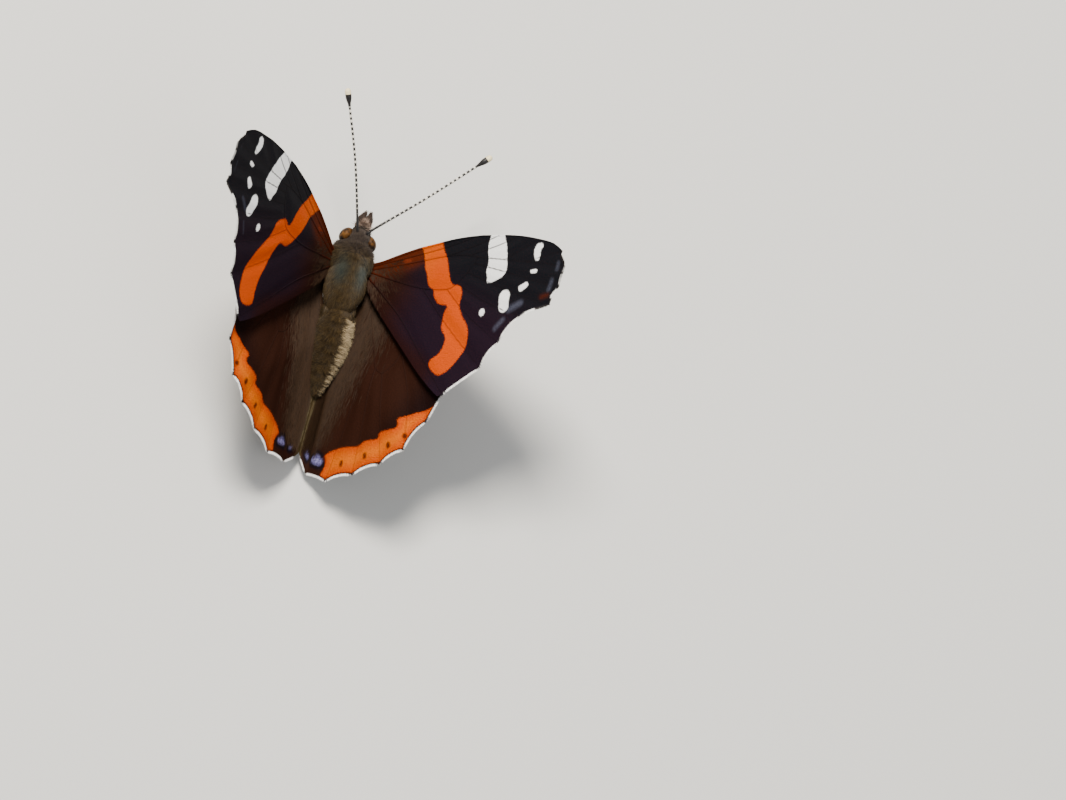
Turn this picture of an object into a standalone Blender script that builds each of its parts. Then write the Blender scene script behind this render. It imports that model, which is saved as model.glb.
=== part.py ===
"""Red admiral butterfly at rest with its wings half raised, life size, standing on the floor.

Lengths are millimetres until the meshes are made. In the body's own frame X is the butterfly's
right, Y runs forward to the head and Z is up from its back; world() pitches and lifts that frame.
A wing is drawn flat, p out along it from its root and q forward, and a sheet then places it.
"""
from math import cos, exp, hypot, log, pi, radians, sin

import bpy
from mathutils import Vector
from mathutils.geometry import delaunay_2d_cdt

for old in list(bpy.data.objects):
    bpy.data.objects.remove(old)

MM = 0.001
GAP = 0.3                     # space between neighbouring nodes
PITCH = radians(8.0)          # the body slopes up to the head
LIFT = 5.6                    # height of the forewing roots over the floor
SIDES = {"right": 1, "left": -1}
X, Y, Z = Vector((1, 0, 0)), Vector((0, 1, 0)), Vector((0, 0, 1))

LOOKS = {                     # node: colour as linear red, green, blue, then roughness
    "thorax": ((0.045, 0.03, 0.022), 0.85),
    "abdomen": ((0.07, 0.042, 0.024), 0.85),
    "head": ((0.05, 0.032, 0.022), 0.85),
    "eye": ((0.12, 0.045, 0.015), 0.3),
    "palp": ((0.06, 0.042, 0.035), 0.8),
    "antenna": ((0.012, 0.01, 0.01), 0.45),
    "tongue": ((0.05, 0.03, 0.015), 0.4),
    "forewing": ((0.016, 0.012, 0.014), 0.6),
    "hindwing": ((0.035, 0.018, 0.012), 0.6),
    "foreleg": ((0.09, 0.06, 0.04), 0.8),
    "midleg": ((0.1, 0.07, 0.045), 0.6),
    "hindleg": ((0.1, 0.07, 0.045), 0.6),
}
NODES = {}


# Helpers

def world(p):
    """A point of the body's frame, in the standing frame."""
    return Vector((p[0], p[1] * cos(PITCH) - p[2] * sin(PITCH), p[1] * sin(PITCH) + p[2] * cos(PITCH) + LIFT))


def body(p):
    """A point of the standing frame, in the body's frame."""
    y, z = p[1], p[2] - LIFT
    return Vector((p[0], y * cos(PITCH) + z * sin(PITCH), z * cos(PITCH) - y * sin(PITCH)))


def add(name, points, faces, on_floor=False):
    """Keeps one node. A foot that would reach under the floor is pressed flat on it."""
    points = [world(p) for p in points]
    if on_floor:
        for p in points:
            p.z = max(p.z, 0.0)
    NODES[name] = (points, faces)


def ease(low, high, value):
    """0 below low, 1 above high, and smooth between."""
    t = min(1.0, max(0.0, (value - low) / (high - low)))
    return t * t * (3.0 - 2.0 * t)


def soft_over(value, floor, width):
    """The value held above a floor, with the corner rounded over a width."""
    t = (value - floor) / width
    return value if t > 20.0 else floor + width * log(1.0 + exp(t))


def along(stations, t):
    """The value at t in a short list of (place, value) stations."""
    for (t0, a), (t1, b) in zip(stations, stations[1:]):
        if t <= t1:
            return a + (b - a) * (t - t0) / (t1 - t0)
    return stations[-1][1]


def smooth_line(marks, step):
    """A smooth curve through the marks, with a sample about every step."""
    marks = [Vector(m) for m in marks]
    ends = [marks[0] * 2 - marks[1]] + marks + [marks[-1] * 2 - marks[-2]]
    line = []
    for a, b, c, d in zip(ends, ends[1:], ends[2:], ends[3:]):
        count = max(1, round((c - b).length / step))
        for i in range(count):
            t = i / count
            line.append(0.5 * (2 * b + (c - a) * t + (2 * a - 5 * b + 4 * c - d) * t * t
                               + (3 * b - a - 3 * c + d) * t ** 3))
    return line + [marks[-1]]


def rings_faces(rings, sides, front, back):
    """Triangles of stacked rings, whose ends close on the points numbered front and back."""
    faces = []
    for i in range(rings - 1):
        for j in range(sides):
            a, b = i * sides + j, i * sides + (j + 1) % sides
            faces += [(a, b, a + sides), (b, b + sides, a + sides)]
    last = (rings - 1) * sides
    for j in range(sides):
        k = (j + 1) % sides
        faces += [(front, k, j), (back, last + j, last + k)]
    return faces


# Rounded bodies: thorax, head and eyes

class Round:
    """A rounded body: half sizes about a centre, and a power that says how boxy it is."""

    def __init__(self, centre, half, power=2.0):
        self.centre, self.half, self.power = Vector(centre), half, power

    def ratio(self, p):
        n = self.power
        return sum((abs(v) / h) ** n for v, h in zip(Vector(p) - self.centre, self.half)) ** (1.0 / n)

    def clearance(self, p, step=0.01):
        """About how far p stands off the surface."""
        p = Vector(p)
        k = self.ratio(p)
        slope = Vector([(self.ratio(p + axis * step) - k) / step for axis in (X, Y, Z)]).length
        return (k - 1.0) / max(slope, 1e-6)

    def seat(self, p, away):
        """p slid along a direction until it stands one gap off the surface."""
        near = (self.centre - p).dot(away)
        if self.clearance(p + away * near) >= GAP:
            return p
        far = near + 8.0
        for _ in range(40):
            mid = (near + far) / 2
            if self.clearance(p + away * mid) < GAP:
                near = mid
            else:
                far = mid
        return p + away * far

    def reach(self, way, neighbours):
        """Distance from the centre to the surface, or to one gap off a neighbour."""
        out = 1.0 / self.ratio(self.centre + way)
        steps = 30
        for other in neighbours:
            for k in range(steps + 1):
                if other.clearance(self.centre + way * (out * k / steps)) < GAP:
                    near, far = out * (k - 1) / steps, out * k / steps
                    for _ in range(20):
                        mid = (near + far) / 2
                        if other.clearance(self.centre + way * mid) < GAP:
                            far = mid
                        else:
                            near = mid
                    out = near
                    break
        return out

    def node(self, name, rings, sides, neighbours=()):
        """A globe of triangles, hollowed where a neighbour sits against it."""
        points, last = [], 1 + (rings - 1) * sides
        for i in range(rings + 1):
            tilt = pi * i / rings
            for j in range(1 if i in (0, rings) else sides):
                turn = 2 * pi * (j + 0.5 * (i % 2)) / sides
                way = Vector((sin(tilt) * cos(turn), cos(tilt), sin(tilt) * sin(turn)))
                points.append(self.centre + way * self.reach(way, neighbours))
        faces = []
        for i in range(rings):
            for j in range(sides):
                a, b = 1 + (i - 1) * sides + j, 1 + (i - 1) * sides + (j + 1) % sides
                if i == 0:
                    faces.append((0, b + sides, a + sides))
                elif i == rings - 1:
                    faces.append((a, b, last))
                elif i % 2:
                    faces += [(a, b + sides, a + sides), (a, b, b + sides)]
                else:
                    faces += [(a, b, a + sides), (b, b + sides, a + sides)]
        add(name, points, faces)


THORAX = Round((0.0, 1.75, -0.65), (2.3, 4.1, 2.45), 2.8)
HEAD = Round((0.0, 7.05, -0.25), (1.5, 1.35, 1.45), 2.1)
EYES = {word: Round((side * 1.42, 7.05, -0.15), (0.78, 1.0, 1.15)) for word, side in SIDES.items()}

THORAX.node("thorax", 22, 24)
HEAD.node("head", 18, 22, [THORAX, *EYES.values()])
for word, eye in EYES.items():
    eye.node("eye_" + word, 12, 16)


# Abdomen: ringed segments, each a little wider at its hind edge

BELLY_FRONT, BELLY_LENGTH, SEGMENTS = -1.7, 9.8, 8
BELLY_HALF_WIDTH = ((0.0, 1.42), (0.12, 1.7), (0.35, 1.86), (0.55, 1.72), (0.75, 1.3), (0.9, 0.86), (1.0, 0.42))
SEGMENT_SWELL = ((0.0, 0.965), (0.55, 1.0), (0.93, 1.03))
BELLY_BACK = BELLY_FRONT - BELLY_LENGTH


def belly_radius(y):
    return along(BELLY_HALF_WIDTH, (BELLY_FRONT - y) / BELLY_LENGTH)


def belly_height(y):
    return -0.75 - 0.3 * (BELLY_FRONT - y) / BELLY_LENGTH


def abdomen():
    sides, points = 20, []
    waist_r, waist_z = belly_radius(BELLY_FRONT), belly_height(BELLY_FRONT)
    turns = [2 * pi * (j + 0.5) / sides for j in range(sides)]
    for share in (0.34, 0.67):
        for turn in turns:
            p = Vector((waist_r * share * cos(turn), -3.2, waist_z + waist_r * share * sin(turn)))
            points.append(THORAX.seat(p, -Y))
    rings = [(BELLY_FRONT - BELLY_LENGTH * (k + part) / SEGMENTS, swell)
             for k in range(SEGMENTS) for part, swell in SEGMENT_SWELL]
    for y, swell in rings:
        r = belly_radius(y) * swell
        for turn in turns:
            p = Vector((r * cos(turn), y, belly_height(y) + r * 0.96 * sin(turn)))
            points.append(THORAX.seat(p, -Y) if THORAX.clearance(p) < GAP else p)
    points.append(THORAX.seat(Vector((0, -3.2, waist_z)), -Y))
    points.append(Vector((0, BELLY_BACK - 0.1, belly_height(BELLY_BACK))))
    add("abdomen", points, rings_faces(len(rings) + 2, sides, len(points) - 2, len(points) - 1))


abdomen()


# Tubes: palps, feelers and legs

def tube(name, path, radii, sides, root, on_floor=False):
    """A tube of changing radius along a path, whose first ring sits against its root body."""
    points, across = [], None
    for i, (centre, radius) in enumerate(zip(path, radii)):
        way = (path[min(i + 1, len(path) - 1)] - path[max(i - 1, 0)]).normalized()
        across = way.cross(Z if abs(way.z) < 0.95 else Y) if across is None else across - way * across.dot(way)
        across.normalize()
        up = way.cross(across)
        for j in range(sides):
            turn = 2 * pi * (j + 0.5) / sides
            p = centre + across * (radius * cos(turn)) + up * (radius * sin(turn))
            points.append(root.seat(p, way) if i == 0 else p)
    points.append(root.seat(path[0], (path[1] - path[0]).normalized()))
    points.append(path[-1] + (path[-1] - path[-2]).normalized() * radii[-1] * 0.4)
    add(name, points, rings_faces(len(path), sides, len(points) - 2, len(points) - 1), on_floor)


PALP_MARKS = ((0.82, 8.1, -1.15), (0.78, 9.0, -0.95), (0.6, 9.7, -0.55), (0.36, 10.2, -0.15))
PALP_RADIUS = ((0.0, 0.4), (0.35, 0.45), (0.6, 0.38), (1.0, 0.12))
FEELER_MARKS = {
    "left": ((-0.75, 7.8, 0.95), (-3.4, 14.6, 3.4), (-6.6, 21.2, 6.2)),
    "right": ((0.75, 7.8, 0.95), (5.7, 13.1, 2.8), (10.9, 19.1, 4.2)),
}
SHAFT_RADIUS, CLUB_RADIUS = 0.25, 0.5


def feeler_radius(t, bump):
    """A ringed shaft that swells to a club and rounds off."""
    club = ease(0.82, 0.93, t) * (1.0 - 0.55 * ease(0.96, 1.0, t))
    return SHAFT_RADIUS + 0.03 * bump * (1.0 - club) + (CLUB_RADIUS - SHAFT_RADIUS) * club


for word, side in SIDES.items():
    line = smooth_line([Vector(m) * Vector((side, 1, 1)) for m in PALP_MARKS], 0.5)
    tube("palp_" + word, line, [along(PALP_RADIUS, i / (len(line) - 1)) for i in range(len(line))], 8, HEAD)
    line = smooth_line(FEELER_MARKS[word], 0.6)
    tube("antenna_" + word, line, [feeler_radius(i / (len(line) - 1), i % 2) for i in range(len(line))], 6, HEAD)


def leg(name, side, hip, marks, toe):
    """A walking leg: hip in the body's frame, then marks and toe in the standing frame.

    The marks are the thigh's root, the knee and the heel. The foot lies along the floor.
    """
    flip = Vector((side, 1, 1))
    top = Vector(hip) * flip
    root, knee, heel = (body(Vector(m) * flip) for m in marks)
    path, radii = [top, top.lerp(root, 0.55), root], [0.5, 0.52, 0.42]
    for t, radius in ((0.15, 0.44), (0.5, 0.43), (0.9, 0.34)):
        path.append(root.lerp(knee, t) + Z * (0.25 * sin(pi * t)))
        radii.append(radius)
    for t, radius in ((0.0, 0.33), (0.12, 0.32), (0.5, 0.3), (0.9, 0.29), (1.0, 0.27)):
        path.append(knee.lerp(heel, t))
        radii.append(radius)
    joints = 8
    for k in range(1, joints + 1):
        p = (Vector(marks[2]) * flip).lerp(Vector(toe) * flip, k / joints)
        p.z = toe[2]
        path.append(body(p))
        radii.append(0.2 if k == joints else 0.28 if k % 2 else 0.25)
    tube(name, path, radii, 8, THORAX, on_floor=True)


FOOT = 0.24                   # height of the feet's axis, just under their radius
BRUSH_MARKS = ((0.75, 3.9, -3.1), (0.88, 4.9, -3.6), (0.86, 5.8, -3.66), (0.8, 6.4, -4.12), (0.74, 5.8, -4.56),
               (0.68, 4.9, -4.68), (0.64, 4.1, -4.75))

for word, side in SIDES.items():
    leg("midleg_" + word, side, (1.05, 1.1, -3.0), ((1.95, 1.5, 2.1), (5.4, 3.2, 4.3), (7.3, 4.5, 0.42)),
        (10.1, 6.4, FOOT))
    leg("hindleg_" + word, side, (0.95, -0.6, -2.7), ((1.7, -1.7, 1.75), (4.9, -3.9, 4.1), (6.8, -6.2, 0.42)),
        (9.0, -9.2, FOOT))
    line = smooth_line([Vector(m) * Vector((side, 1, 1)) for m in BRUSH_MARKS], 0.45)
    tube("foreleg_" + word, line, [0.32 - 0.1 * i / (len(line) - 1) for i in range(len(line))], 8, THORAX)


# Tongue: a coil under the head, as a small disc with a ridge that winds in

COIL_CENTRE, COIL_RADIUS = Vector((0, 7.8, -2.52)), 0.66
COIL_PROFILE = ((1.0, 0.10), (0.93, 0.25), (0.66, 0.25), (0.55, 0.17), (0.44, 0.24), (0.22, 0.24))


def tongue():
    sides = 20
    half = [(COIL_RADIUS * r, w) for r, w in COIL_PROFILE]
    profile = [(r, -w) for r, w in half[::-1]] + half
    points = [COIL_CENTRE + Vector((w, r * cos(2 * pi * j / sides), r * sin(2 * pi * j / sides)))
              for r, w in profile for j in range(sides)]
    points += [COIL_CENTRE - X * 0.2, COIL_CENTRE + X * 0.2]
    add("tongue", points, rings_faces(len(profile), sides, len(points) - 2, len(points) - 1))


tongue()


# Wings

THICK = 0.5
VEIN_HIGH, VEIN_FOOT = 0.11, 0.34      # a vein's ridge on each face, and its half width
ROOT_SWELL = 0.2                       # extra half thickness at the root
STACK = 1.18                           # forewing's middle surface over the hindwing's, where they overlap
FORE_ROOT, HIND_ROOT = (2.25, 4.41, 0.0), (2.25, 1.41, -0.4)
RAISED_PITCHED_SWEPT = {               # degrees
    "right": {"fore": (55.7, 6.2, -24.9), "hind": (54.9, 1.8, -11.5)},
    "left": {"fore": (56.3, 6.2, -20.9), "hind": (51.4, -2.6, -4.5)},
}

FORE = {
    "front": [(0.1, 0.25), (1.4, 1.2), (2.9, 2.5), (5.5, 4.6), (7.8, 6.25), (10.4, 8.1), (13.2, 9.8),
              (16.4, 11.4), (19.2, 12.65), (22.3, 13.7), (24.8, 14.3), (26.4, 14.15)],
    "vein_ends": [(26.4, 14.15), (28.1, 13.15), (28.8, 10.6), (28.85, 8.4), (25.6, 5.5), (24.45, 1.6),
                  (23.75, -2.0), (20.9, -6.9)],
    "dips": [0.0, 0.04, 0.3, 0.1, 0.3, 0.3, 0.05],
    "back": [(20.9, -6.9), (20.1, -7.3), (16.0, -6.6), (11.0, -5.3), (6.0, -4.0), (2.4, -3.05), (1.0, -2.5)],
    "veins": [
        [(0.9, 0.1), (5.2, 3.6), (9.6, 6.8), (13.2, 9.8)],
        [(0.9, -0.3), (5.5, 2.9), (10.5, 6.1), (13.4, 7.5), (14.9, 8.0)],
        [(10.5, 6.1), (13.6, 8.8), (16.4, 11.4)],
        [(13.4, 7.5), (16.5, 10.0), (19.2, 12.65)],
        [(14.9, 8.0), (19.0, 9.6), (22.0, 10.75), (28.1, 13.15)],
        [(19.0, 9.6), (20.8, 11.8), (22.3, 13.7)],
        [(22.0, 10.75), (24.6, 12.8), (26.4, 14.15)],
        [(14.9, 7.2), (21.5, 8.9), (28.8, 10.6)],
        [(14.6, 5.9), (21.8, 7.0), (28.85, 8.4)],
        [(13.9, 4.2), (19.8, 4.45), (25.6, 5.5)],
        [(12.9, 3.0), (18.4, 1.9), (24.45, 1.6)],
        [(9.2, 1.4), (16.0, -0.4), (23.75, -2.0)],
        [(0.9, -0.7), (4.6, 0.2), (9.2, 1.4), (12.9, 3.0), (13.9, 4.2)],
        [(14.9, 8.0), (14.9, 7.2), (14.6, 5.9), (13.9, 4.2)],
        [(1.0, -1.5), (8.0, -2.6), (15.0, -4.9), (20.9, -6.9)],
    ],
}
HIND = {
    "front": [(0.2, 0.9), (3.0, 2.1), (7.0, 2.7), (11.5, 2.2), (15.0, 0.1), (17.2, -3.8)],
    "vein_ends": [(17.2, -3.8), (17.8, -8.1), (17.2, -11.9), (16.7, -15.8), (13.9, -18.2), (10.3, -20.3),
                  (6.4, -21.9), (2.2, -21.9), (-0.3, -20.6)],
    "dips": [0.0, 0.25, 0.3, 0.3, 0.3, 0.3, 0.25, 0.0],
    "back": [(-0.3, -20.6), (-0.1, -15.0), (0.0, -9.0), (0.1, -4.0), (0.25, -1.6)],
    "veins": [
        [(0.9, 0.2), (7.0, 0.9), (12.6, -0.6), (17.2, -3.8)],
        [(0.9, -0.2), (5.2, -1.7), (8.0, -3.9), (8.6, -5.2)],
        [(5.2, -1.7), (11.6, -4.7), (17.8, -8.1)],
        [(8.0, -3.9), (13.1, -7.8), (17.2, -11.9)],
        [(8.6, -5.2), (13.0, -10.2), (16.7, -15.8)],
        [(7.7, -8.3), (10.9, -13.0), (13.9, -18.2)],
        [(6.4, -7.9), (8.5, -14.0), (10.3, -20.3)],
        [(4.4, -5.6), (5.8, -13.6), (6.4, -21.9)],
        [(0.9, -0.8), (2.4, -3.2), (4.4, -5.6), (6.4, -7.9), (7.7, -8.3)],
        [(8.6, -5.2), (8.5, -6.8), (7.7, -8.3)],
        [(1.0, -1.3), (2.3, -10.5), (2.2, -21.9)],
    ],
}
FORE_BACK_START, FORE_BACK_SLOPE = -2.25, -0.243     # the forewing's hind margin, q against p


def behind_forewing(p, q):
    """How far a point of the forewing's plane lies behind its hind margin."""
    return (FORE_BACK_START + FORE_BACK_SLOPE * p - q) / hypot(1.0, FORE_BACK_SLOPE)


class Sheet:
    """The middle surface of a right wing, flat until a kind of wing bends it."""

    def __init__(self, root, angles):
        raised, pitched, swept = (radians(v) for v in angles)
        out = Vector((cos(raised), 0, sin(raised)))
        up = Vector((-sin(raised), 0, cos(raised)))
        ahead = Y * cos(pitched) + up * sin(pitched)
        self.root = Vector(root)
        self.along_p = out * cos(swept) + ahead * sin(swept)
        self.along_q = ahead * cos(swept) - out * sin(swept)
        self.up = self.along_p.cross(self.along_q)

    def flat(self, p, q):
        return self.root + self.along_p * p + self.along_q * q

    def normal(self, p, q, step=0.05):
        a = self.mid(p + step, q) - self.mid(p - step, q)
        b = self.mid(p, q + step) - self.mid(p, q - step)
        return a.cross(b).normalized()


class ForeSheet(Sheet):
    def arch(self, p, q):
        """Slightly arched along, and lifted along the hind margin to clear the hindwing."""
        bulge = 0.35 * sin(pi * min(1.0, max(0.0, p / 30.0)))
        return bulge + 0.45 * ease(-6.0, 0.5, behind_forewing(p, q)) * ease(0.0, 6.0, p)

    def mid(self, p, q):
        return self.flat(p, q) + self.up * self.arch(p, q)


class HindSheet(Sheet):
    def __init__(self, root, angles, fore):
        Sheet.__init__(self, root, angles)
        self.fore = fore

    def under_forewing(self, point):
        """The point lowered where the forewing lies over it."""
        from_root = point - self.fore.root
        p, q = from_root.dot(self.fore.along_p), from_root.dot(self.fore.along_q)
        too_high = from_root.dot(self.fore.up) - (self.fore.arch(p, q) - STACK)
        covered = 1.0 - ease(0.6, 7.0, behind_forewing(p, q))
        return point - self.fore.up * (soft_over(too_high, 0.0, 0.12) * covered)

    def beside_abdomen(self, point):
        """The point moved out round the abdomen, off the midline and up from under the body."""
        y = max(point.y, BELLY_BACK)
        ends = ease(BELLY_BACK - 1.7, BELLY_BACK - 0.1, point.y) * ease(0.0, -1.6, point.y)
        need = (belly_radius(y) + 0.85) * ends
        x, z = max(point.x, 0.05), point.z - belly_height(y)
        if need > 0.05:
            out = soft_over(hypot(x, z), need, 0.12) / hypot(x, z)
            x, z = x * out, z * out
        return Vector((soft_over(x, 0.44, 0.1), point.y, soft_over(z + belly_height(y), -1.75, 0.3)))

    def mid(self, p, q):
        arched = self.flat(p, q) + self.up * (0.3 * sin(pi * min(1.0, max(0.0, p / 22.0))))
        point = self.under_forewing(arched)
        return self.beside_abdomen(point) if point.y < 0.0 else point


def distance(lines, p):
    """Distance from p to the nearest of some lines."""
    best = 1e9
    for line in lines:
        for a, b in zip(line, line[1:]):
            edge = b - a
            t = min(1.0, max(0.0, (p - a).dot(edge) / edge.length_squared))
            best = min(best, (p - a - edge * t).length)
    return best


def inside(margin, p):
    hit = False
    for a, b in zip(margin, margin[1:] + margin[:1]):
        if (a.y > p.y) != (b.y > p.y) and p.x < a.x + (b.x - a.x) * (p.y - a.y) / (b.y - a.y):
            hit = not hit
    return hit


def wing_margin(plan):
    """Front edge, outer edge dipping between the vein ends, hind edge, and root edge."""
    front = smooth_line(plan["front"], 1.9)
    outer = []
    for a, b, dip in zip(plan["vein_ends"], plan["vein_ends"][1:], plan["dips"]):
        a, b = Vector(a), Vector(b)
        inward = Vector((b.y - a.y, a.x - b.x)).normalized()
        count = max(2, round((b - a).length / 1.1))
        for i in range(1, count + 1):
            t = i / count
            outer.append(a.lerp(b, t) + inward * (dip * 4 * t * (1 - t)))
    back = smooth_line(plan["back"], 1.9)[1:]
    root = [back[-1].lerp(front[0], t) for t in (0.33, 0.67)]
    return front, outer, back, root


class FlatWing:
    """The points and edges that a wing's triangles are made on."""

    def __init__(self, plan):
        self.front, outer, back, root = wing_margin(plan)
        self.margin = self.front + outer + back + root
        self.veins = [smooth_line(v, 1.7) for v in plan["veins"]]
        self.spots, self.edges, self.index = [], [], {}
        ring = [self.put(p) for p in self.margin]
        self.edges += list(zip(ring, ring[1:] + ring[:1]))
        self.root = {ring[0], ring[len(ring) - 3], ring[-2], ring[-1]}
        for vein in self.veins:
            chain = [self.put(p) for p in vein]
            self.edges += list(zip(chain, chain[1:]))
        self.add_vein_feet()
        self.add_membrane_points()

    def put(self, p):
        key = (round(p.x, 3), round(p.y, 3))
        if key not in self.index:
            self.index[key] = len(self.spots)
            self.spots.append(Vector((p.x, p.y)))
        return self.index[key]

    def try_point(self, p, off_veins, off_margin, off_points):
        if (inside(self.margin, p) and distance(self.veins, p) > off_veins
                and distance([self.margin + self.margin[:1]], p) > off_margin
                and min((p - s).length for s in self.spots) > off_points):
            self.put(p)

    def add_vein_feet(self):
        """Points along both feet of each vein's ridge."""
        for vein in self.veins:
            for a, b, c in zip(vein, vein[1:], vein[2:]):
                way = (c - a).normalized()
                for side in (VEIN_FOOT, -VEIN_FOOT):
                    self.try_point(b + Vector((-way.y, way.x)) * side, VEIN_FOOT * 0.9, 0.4, 0.3)

    def add_membrane_points(self, step=2.9):
        low, high = min(p.y for p in self.margin), max(p.y for p in self.margin)
        rows = int((high - low) / (step * 0.87))
        for row in range(rows + 1):
            for k in range(12):
                self.try_point(Vector(((k + 0.5 * (row % 2)) * step, low + row * step * 0.87)), 0.9, 0.8, 0.8)

    def triangles(self):
        """The flat wing's points, and its triangles turned alike."""
        spots, _, faces = delaunay_2d_cdt(self.spots, self.edges, [], 1, 1e-5)[:3]
        kept = []
        for a, b, c in faces:
            pa, pb, pc = spots[a], spots[b], spots[c]
            if inside(self.margin, (pa + pb + pc) / 3):
                kept.append((a, b, c) if (pb - pa).cross(pc - pa) > 0 else (a, c, b))
        return spots, kept


def wing(name, sheet, flat, side):
    """Both faces of a wing on the same triangles, its veins raised on each, walled at the margin."""
    spots, faces = flat.triangles()
    upper, lower = [], []
    for i, s in enumerate(spots):
        middle, up = sheet.mid(s.x, s.y), sheet.normal(s.x, s.y)
        vein = max(0.0, 1.0 - distance(flat.veins + [flat.front], s) / VEIN_FOOT)
        swell = exp(-(s - Vector((0.3, -0.8))).length)
        half = up * (THICK / 2 + VEIN_HIGH * vein + ROOT_SWELL * swell)
        pair = [middle + half, middle - half]
        if i in flat.root:
            pair = [THORAX.seat(p, sheet.along_p) for p in pair]
        upper.append(pair[0])
        lower.append(pair[1])
    count = len(spots)
    walls = {(t[k], t[(k + 1) % 3]) for t in faces for k in range(3)}
    faces = faces + [(a + count, c + count, b + count) for a, b, c in faces]
    for a, b in sorted(walls):
        if (b, a) not in walls:
            faces += [(b, a, a + count), (b, a + count, b + count)]
    points = upper + lower
    if side < 0:
        points = [Vector((-p.x, p.y, p.z)) for p in points]
        faces = [f[::-1] for f in faces]
    add(name, points, faces)


FLAT_FORE, FLAT_HIND = FlatWing(FORE), FlatWing(HIND)
for word, side in SIDES.items():
    angles = RAISED_PITCHED_SWEPT[word]
    fore_sheet = ForeSheet(FORE_ROOT, angles["fore"])
    wing("forewing_" + word, fore_sheet, FLAT_FORE, side)
    wing("hindwing_" + word, HindSheet(HIND_ROOT, angles["hind"], fore_sheet), FLAT_HIND, side)


# Meshes, with the whole centred over the origin

def look_of(name):
    """The material of a node, shared by both sides."""
    kind = name.split("_")[0]
    look = bpy.data.materials.get(kind)
    if look is None:
        colour, roughness = LOOKS[kind]
        look = bpy.data.materials.new(kind)
        look.use_nodes = True
        shader = look.node_tree.nodes["Principled BSDF"]
        shader.inputs["Base Color"].default_value = (*colour, 1.0)
        shader.inputs["Roughness"].default_value = roughness
        shader.inputs["Metallic"].default_value = 0.0
    return look


every = [p for points, _ in NODES.values() for p in points]
middle_x = (min(p.x for p in every) + max(p.x for p in every)) / 2
middle_y = (min(p.y for p in every) + max(p.y for p in every)) / 2
shift = Vector((middle_x, middle_y, 0.0))
for name, (points, faces) in NODES.items():
    mesh = bpy.data.meshes.new(name)
    mesh.from_pydata([(p - shift) * MM for p in points], [], faces)
    mesh.materials.append(look_of(name))
    if "wing" not in name:
        mesh.shade_smooth()
    bpy.context.collection.objects.link(bpy.data.objects.new(name, mesh))
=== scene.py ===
"""The looks of a red admiral butterfly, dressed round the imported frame.

Shapes are made in millimetres, in the body's own frame: X to the butterfly's right, Y forward to
the head, Z up from its back. A wing is made flat, p out along it and q forward, and then bent.
standing() pitches and lifts that frame and turns it into the frame's metres.
"""
from math import cos, hypot, pi, radians, sin

import bpy
import numpy as np
from mathutils import Matrix, Vector


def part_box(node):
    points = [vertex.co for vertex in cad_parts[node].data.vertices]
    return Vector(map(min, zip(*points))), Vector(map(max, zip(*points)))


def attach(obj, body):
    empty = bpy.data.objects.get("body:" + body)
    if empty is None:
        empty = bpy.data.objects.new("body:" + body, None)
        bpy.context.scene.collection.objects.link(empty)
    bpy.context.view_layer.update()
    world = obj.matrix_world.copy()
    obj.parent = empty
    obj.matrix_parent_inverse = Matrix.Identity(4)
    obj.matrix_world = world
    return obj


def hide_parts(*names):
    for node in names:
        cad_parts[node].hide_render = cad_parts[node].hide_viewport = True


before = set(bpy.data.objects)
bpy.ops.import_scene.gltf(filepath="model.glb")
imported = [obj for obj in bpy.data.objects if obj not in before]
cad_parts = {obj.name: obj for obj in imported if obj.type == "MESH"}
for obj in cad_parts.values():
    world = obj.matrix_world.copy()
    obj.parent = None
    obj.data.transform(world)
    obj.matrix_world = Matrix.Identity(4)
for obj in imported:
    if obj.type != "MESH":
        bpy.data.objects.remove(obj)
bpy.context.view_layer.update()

MM = 0.001
PITCH = radians(8.0)                  # the body slopes up to the head
LIFT = 5.6                            # height of the forewing roots over the floor
SIDES = {"right": 1, "left": -1}
THORAX_CENTRE = np.array((0.0, 1.75, -0.65))
RNG = np.random.default_rng(7)


def tilted(points):
    """Points of the body's frame, pitched and lifted."""
    x, y, z = np.asarray(points, float).reshape(-1, 3).T
    return np.stack([x, y * cos(PITCH) - z * sin(PITCH), y * sin(PITCH) + z * cos(PITCH) + LIFT], 1)


thorax_middle = np.array(sum(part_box("thorax"), Vector())) / 2 / MM
SHIFT = (tilted(THORAX_CENTRE)[0] - thorax_middle) * (1, 1, 0)


def standing(points):
    """Points of the body's frame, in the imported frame's metres."""
    return (tilted(points) - SHIFT) * MM


def from_floor(point):
    """A point measured from the floor up, in the body's frame."""
    x, y, z = point[0], point[1], point[2] - LIFT
    return np.array((x, y * cos(PITCH) + z * sin(PITCH), z * cos(PITCH) - y * sin(PITCH)))


# Plain helpers for shapes

def ease(low, high, value):
    """0 below low, 1 above high, and smooth between."""
    t = np.clip((value - low) / (high - low), 0.0, 1.0)
    return t * t * (3.0 - 2.0 * t)


def soft_over(value, floor, width):
    """The value held above a floor, with the corner rounded over a width."""
    return floor + width * np.logaddexp(0.0, (value - floor) / width)


def unit(vectors):
    return vectors / np.maximum(np.linalg.norm(vectors, axis=-1, keepdims=True), 1e-9)


def smooth_line(marks, step):
    """A smooth curve through the marks, with a sample about every step."""
    marks = np.asarray(marks, float)
    ends = np.vstack([2 * marks[0] - marks[1], marks, 2 * marks[-1] - marks[-2]])
    line = []
    for a, b, c, d in zip(ends, ends[1:], ends[2:], ends[3:]):
        count = max(1, round(float(np.linalg.norm(c - b)) / step))
        for t in np.arange(count) / count:
            line.append(0.5 * (2 * b + (c - a) * t + (2 * a - 5 * b + 4 * c - d) * t * t
                               + (3 * b - a - 3 * c + d) * t ** 3))
    return np.array(line + [marks[-1]])


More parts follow.
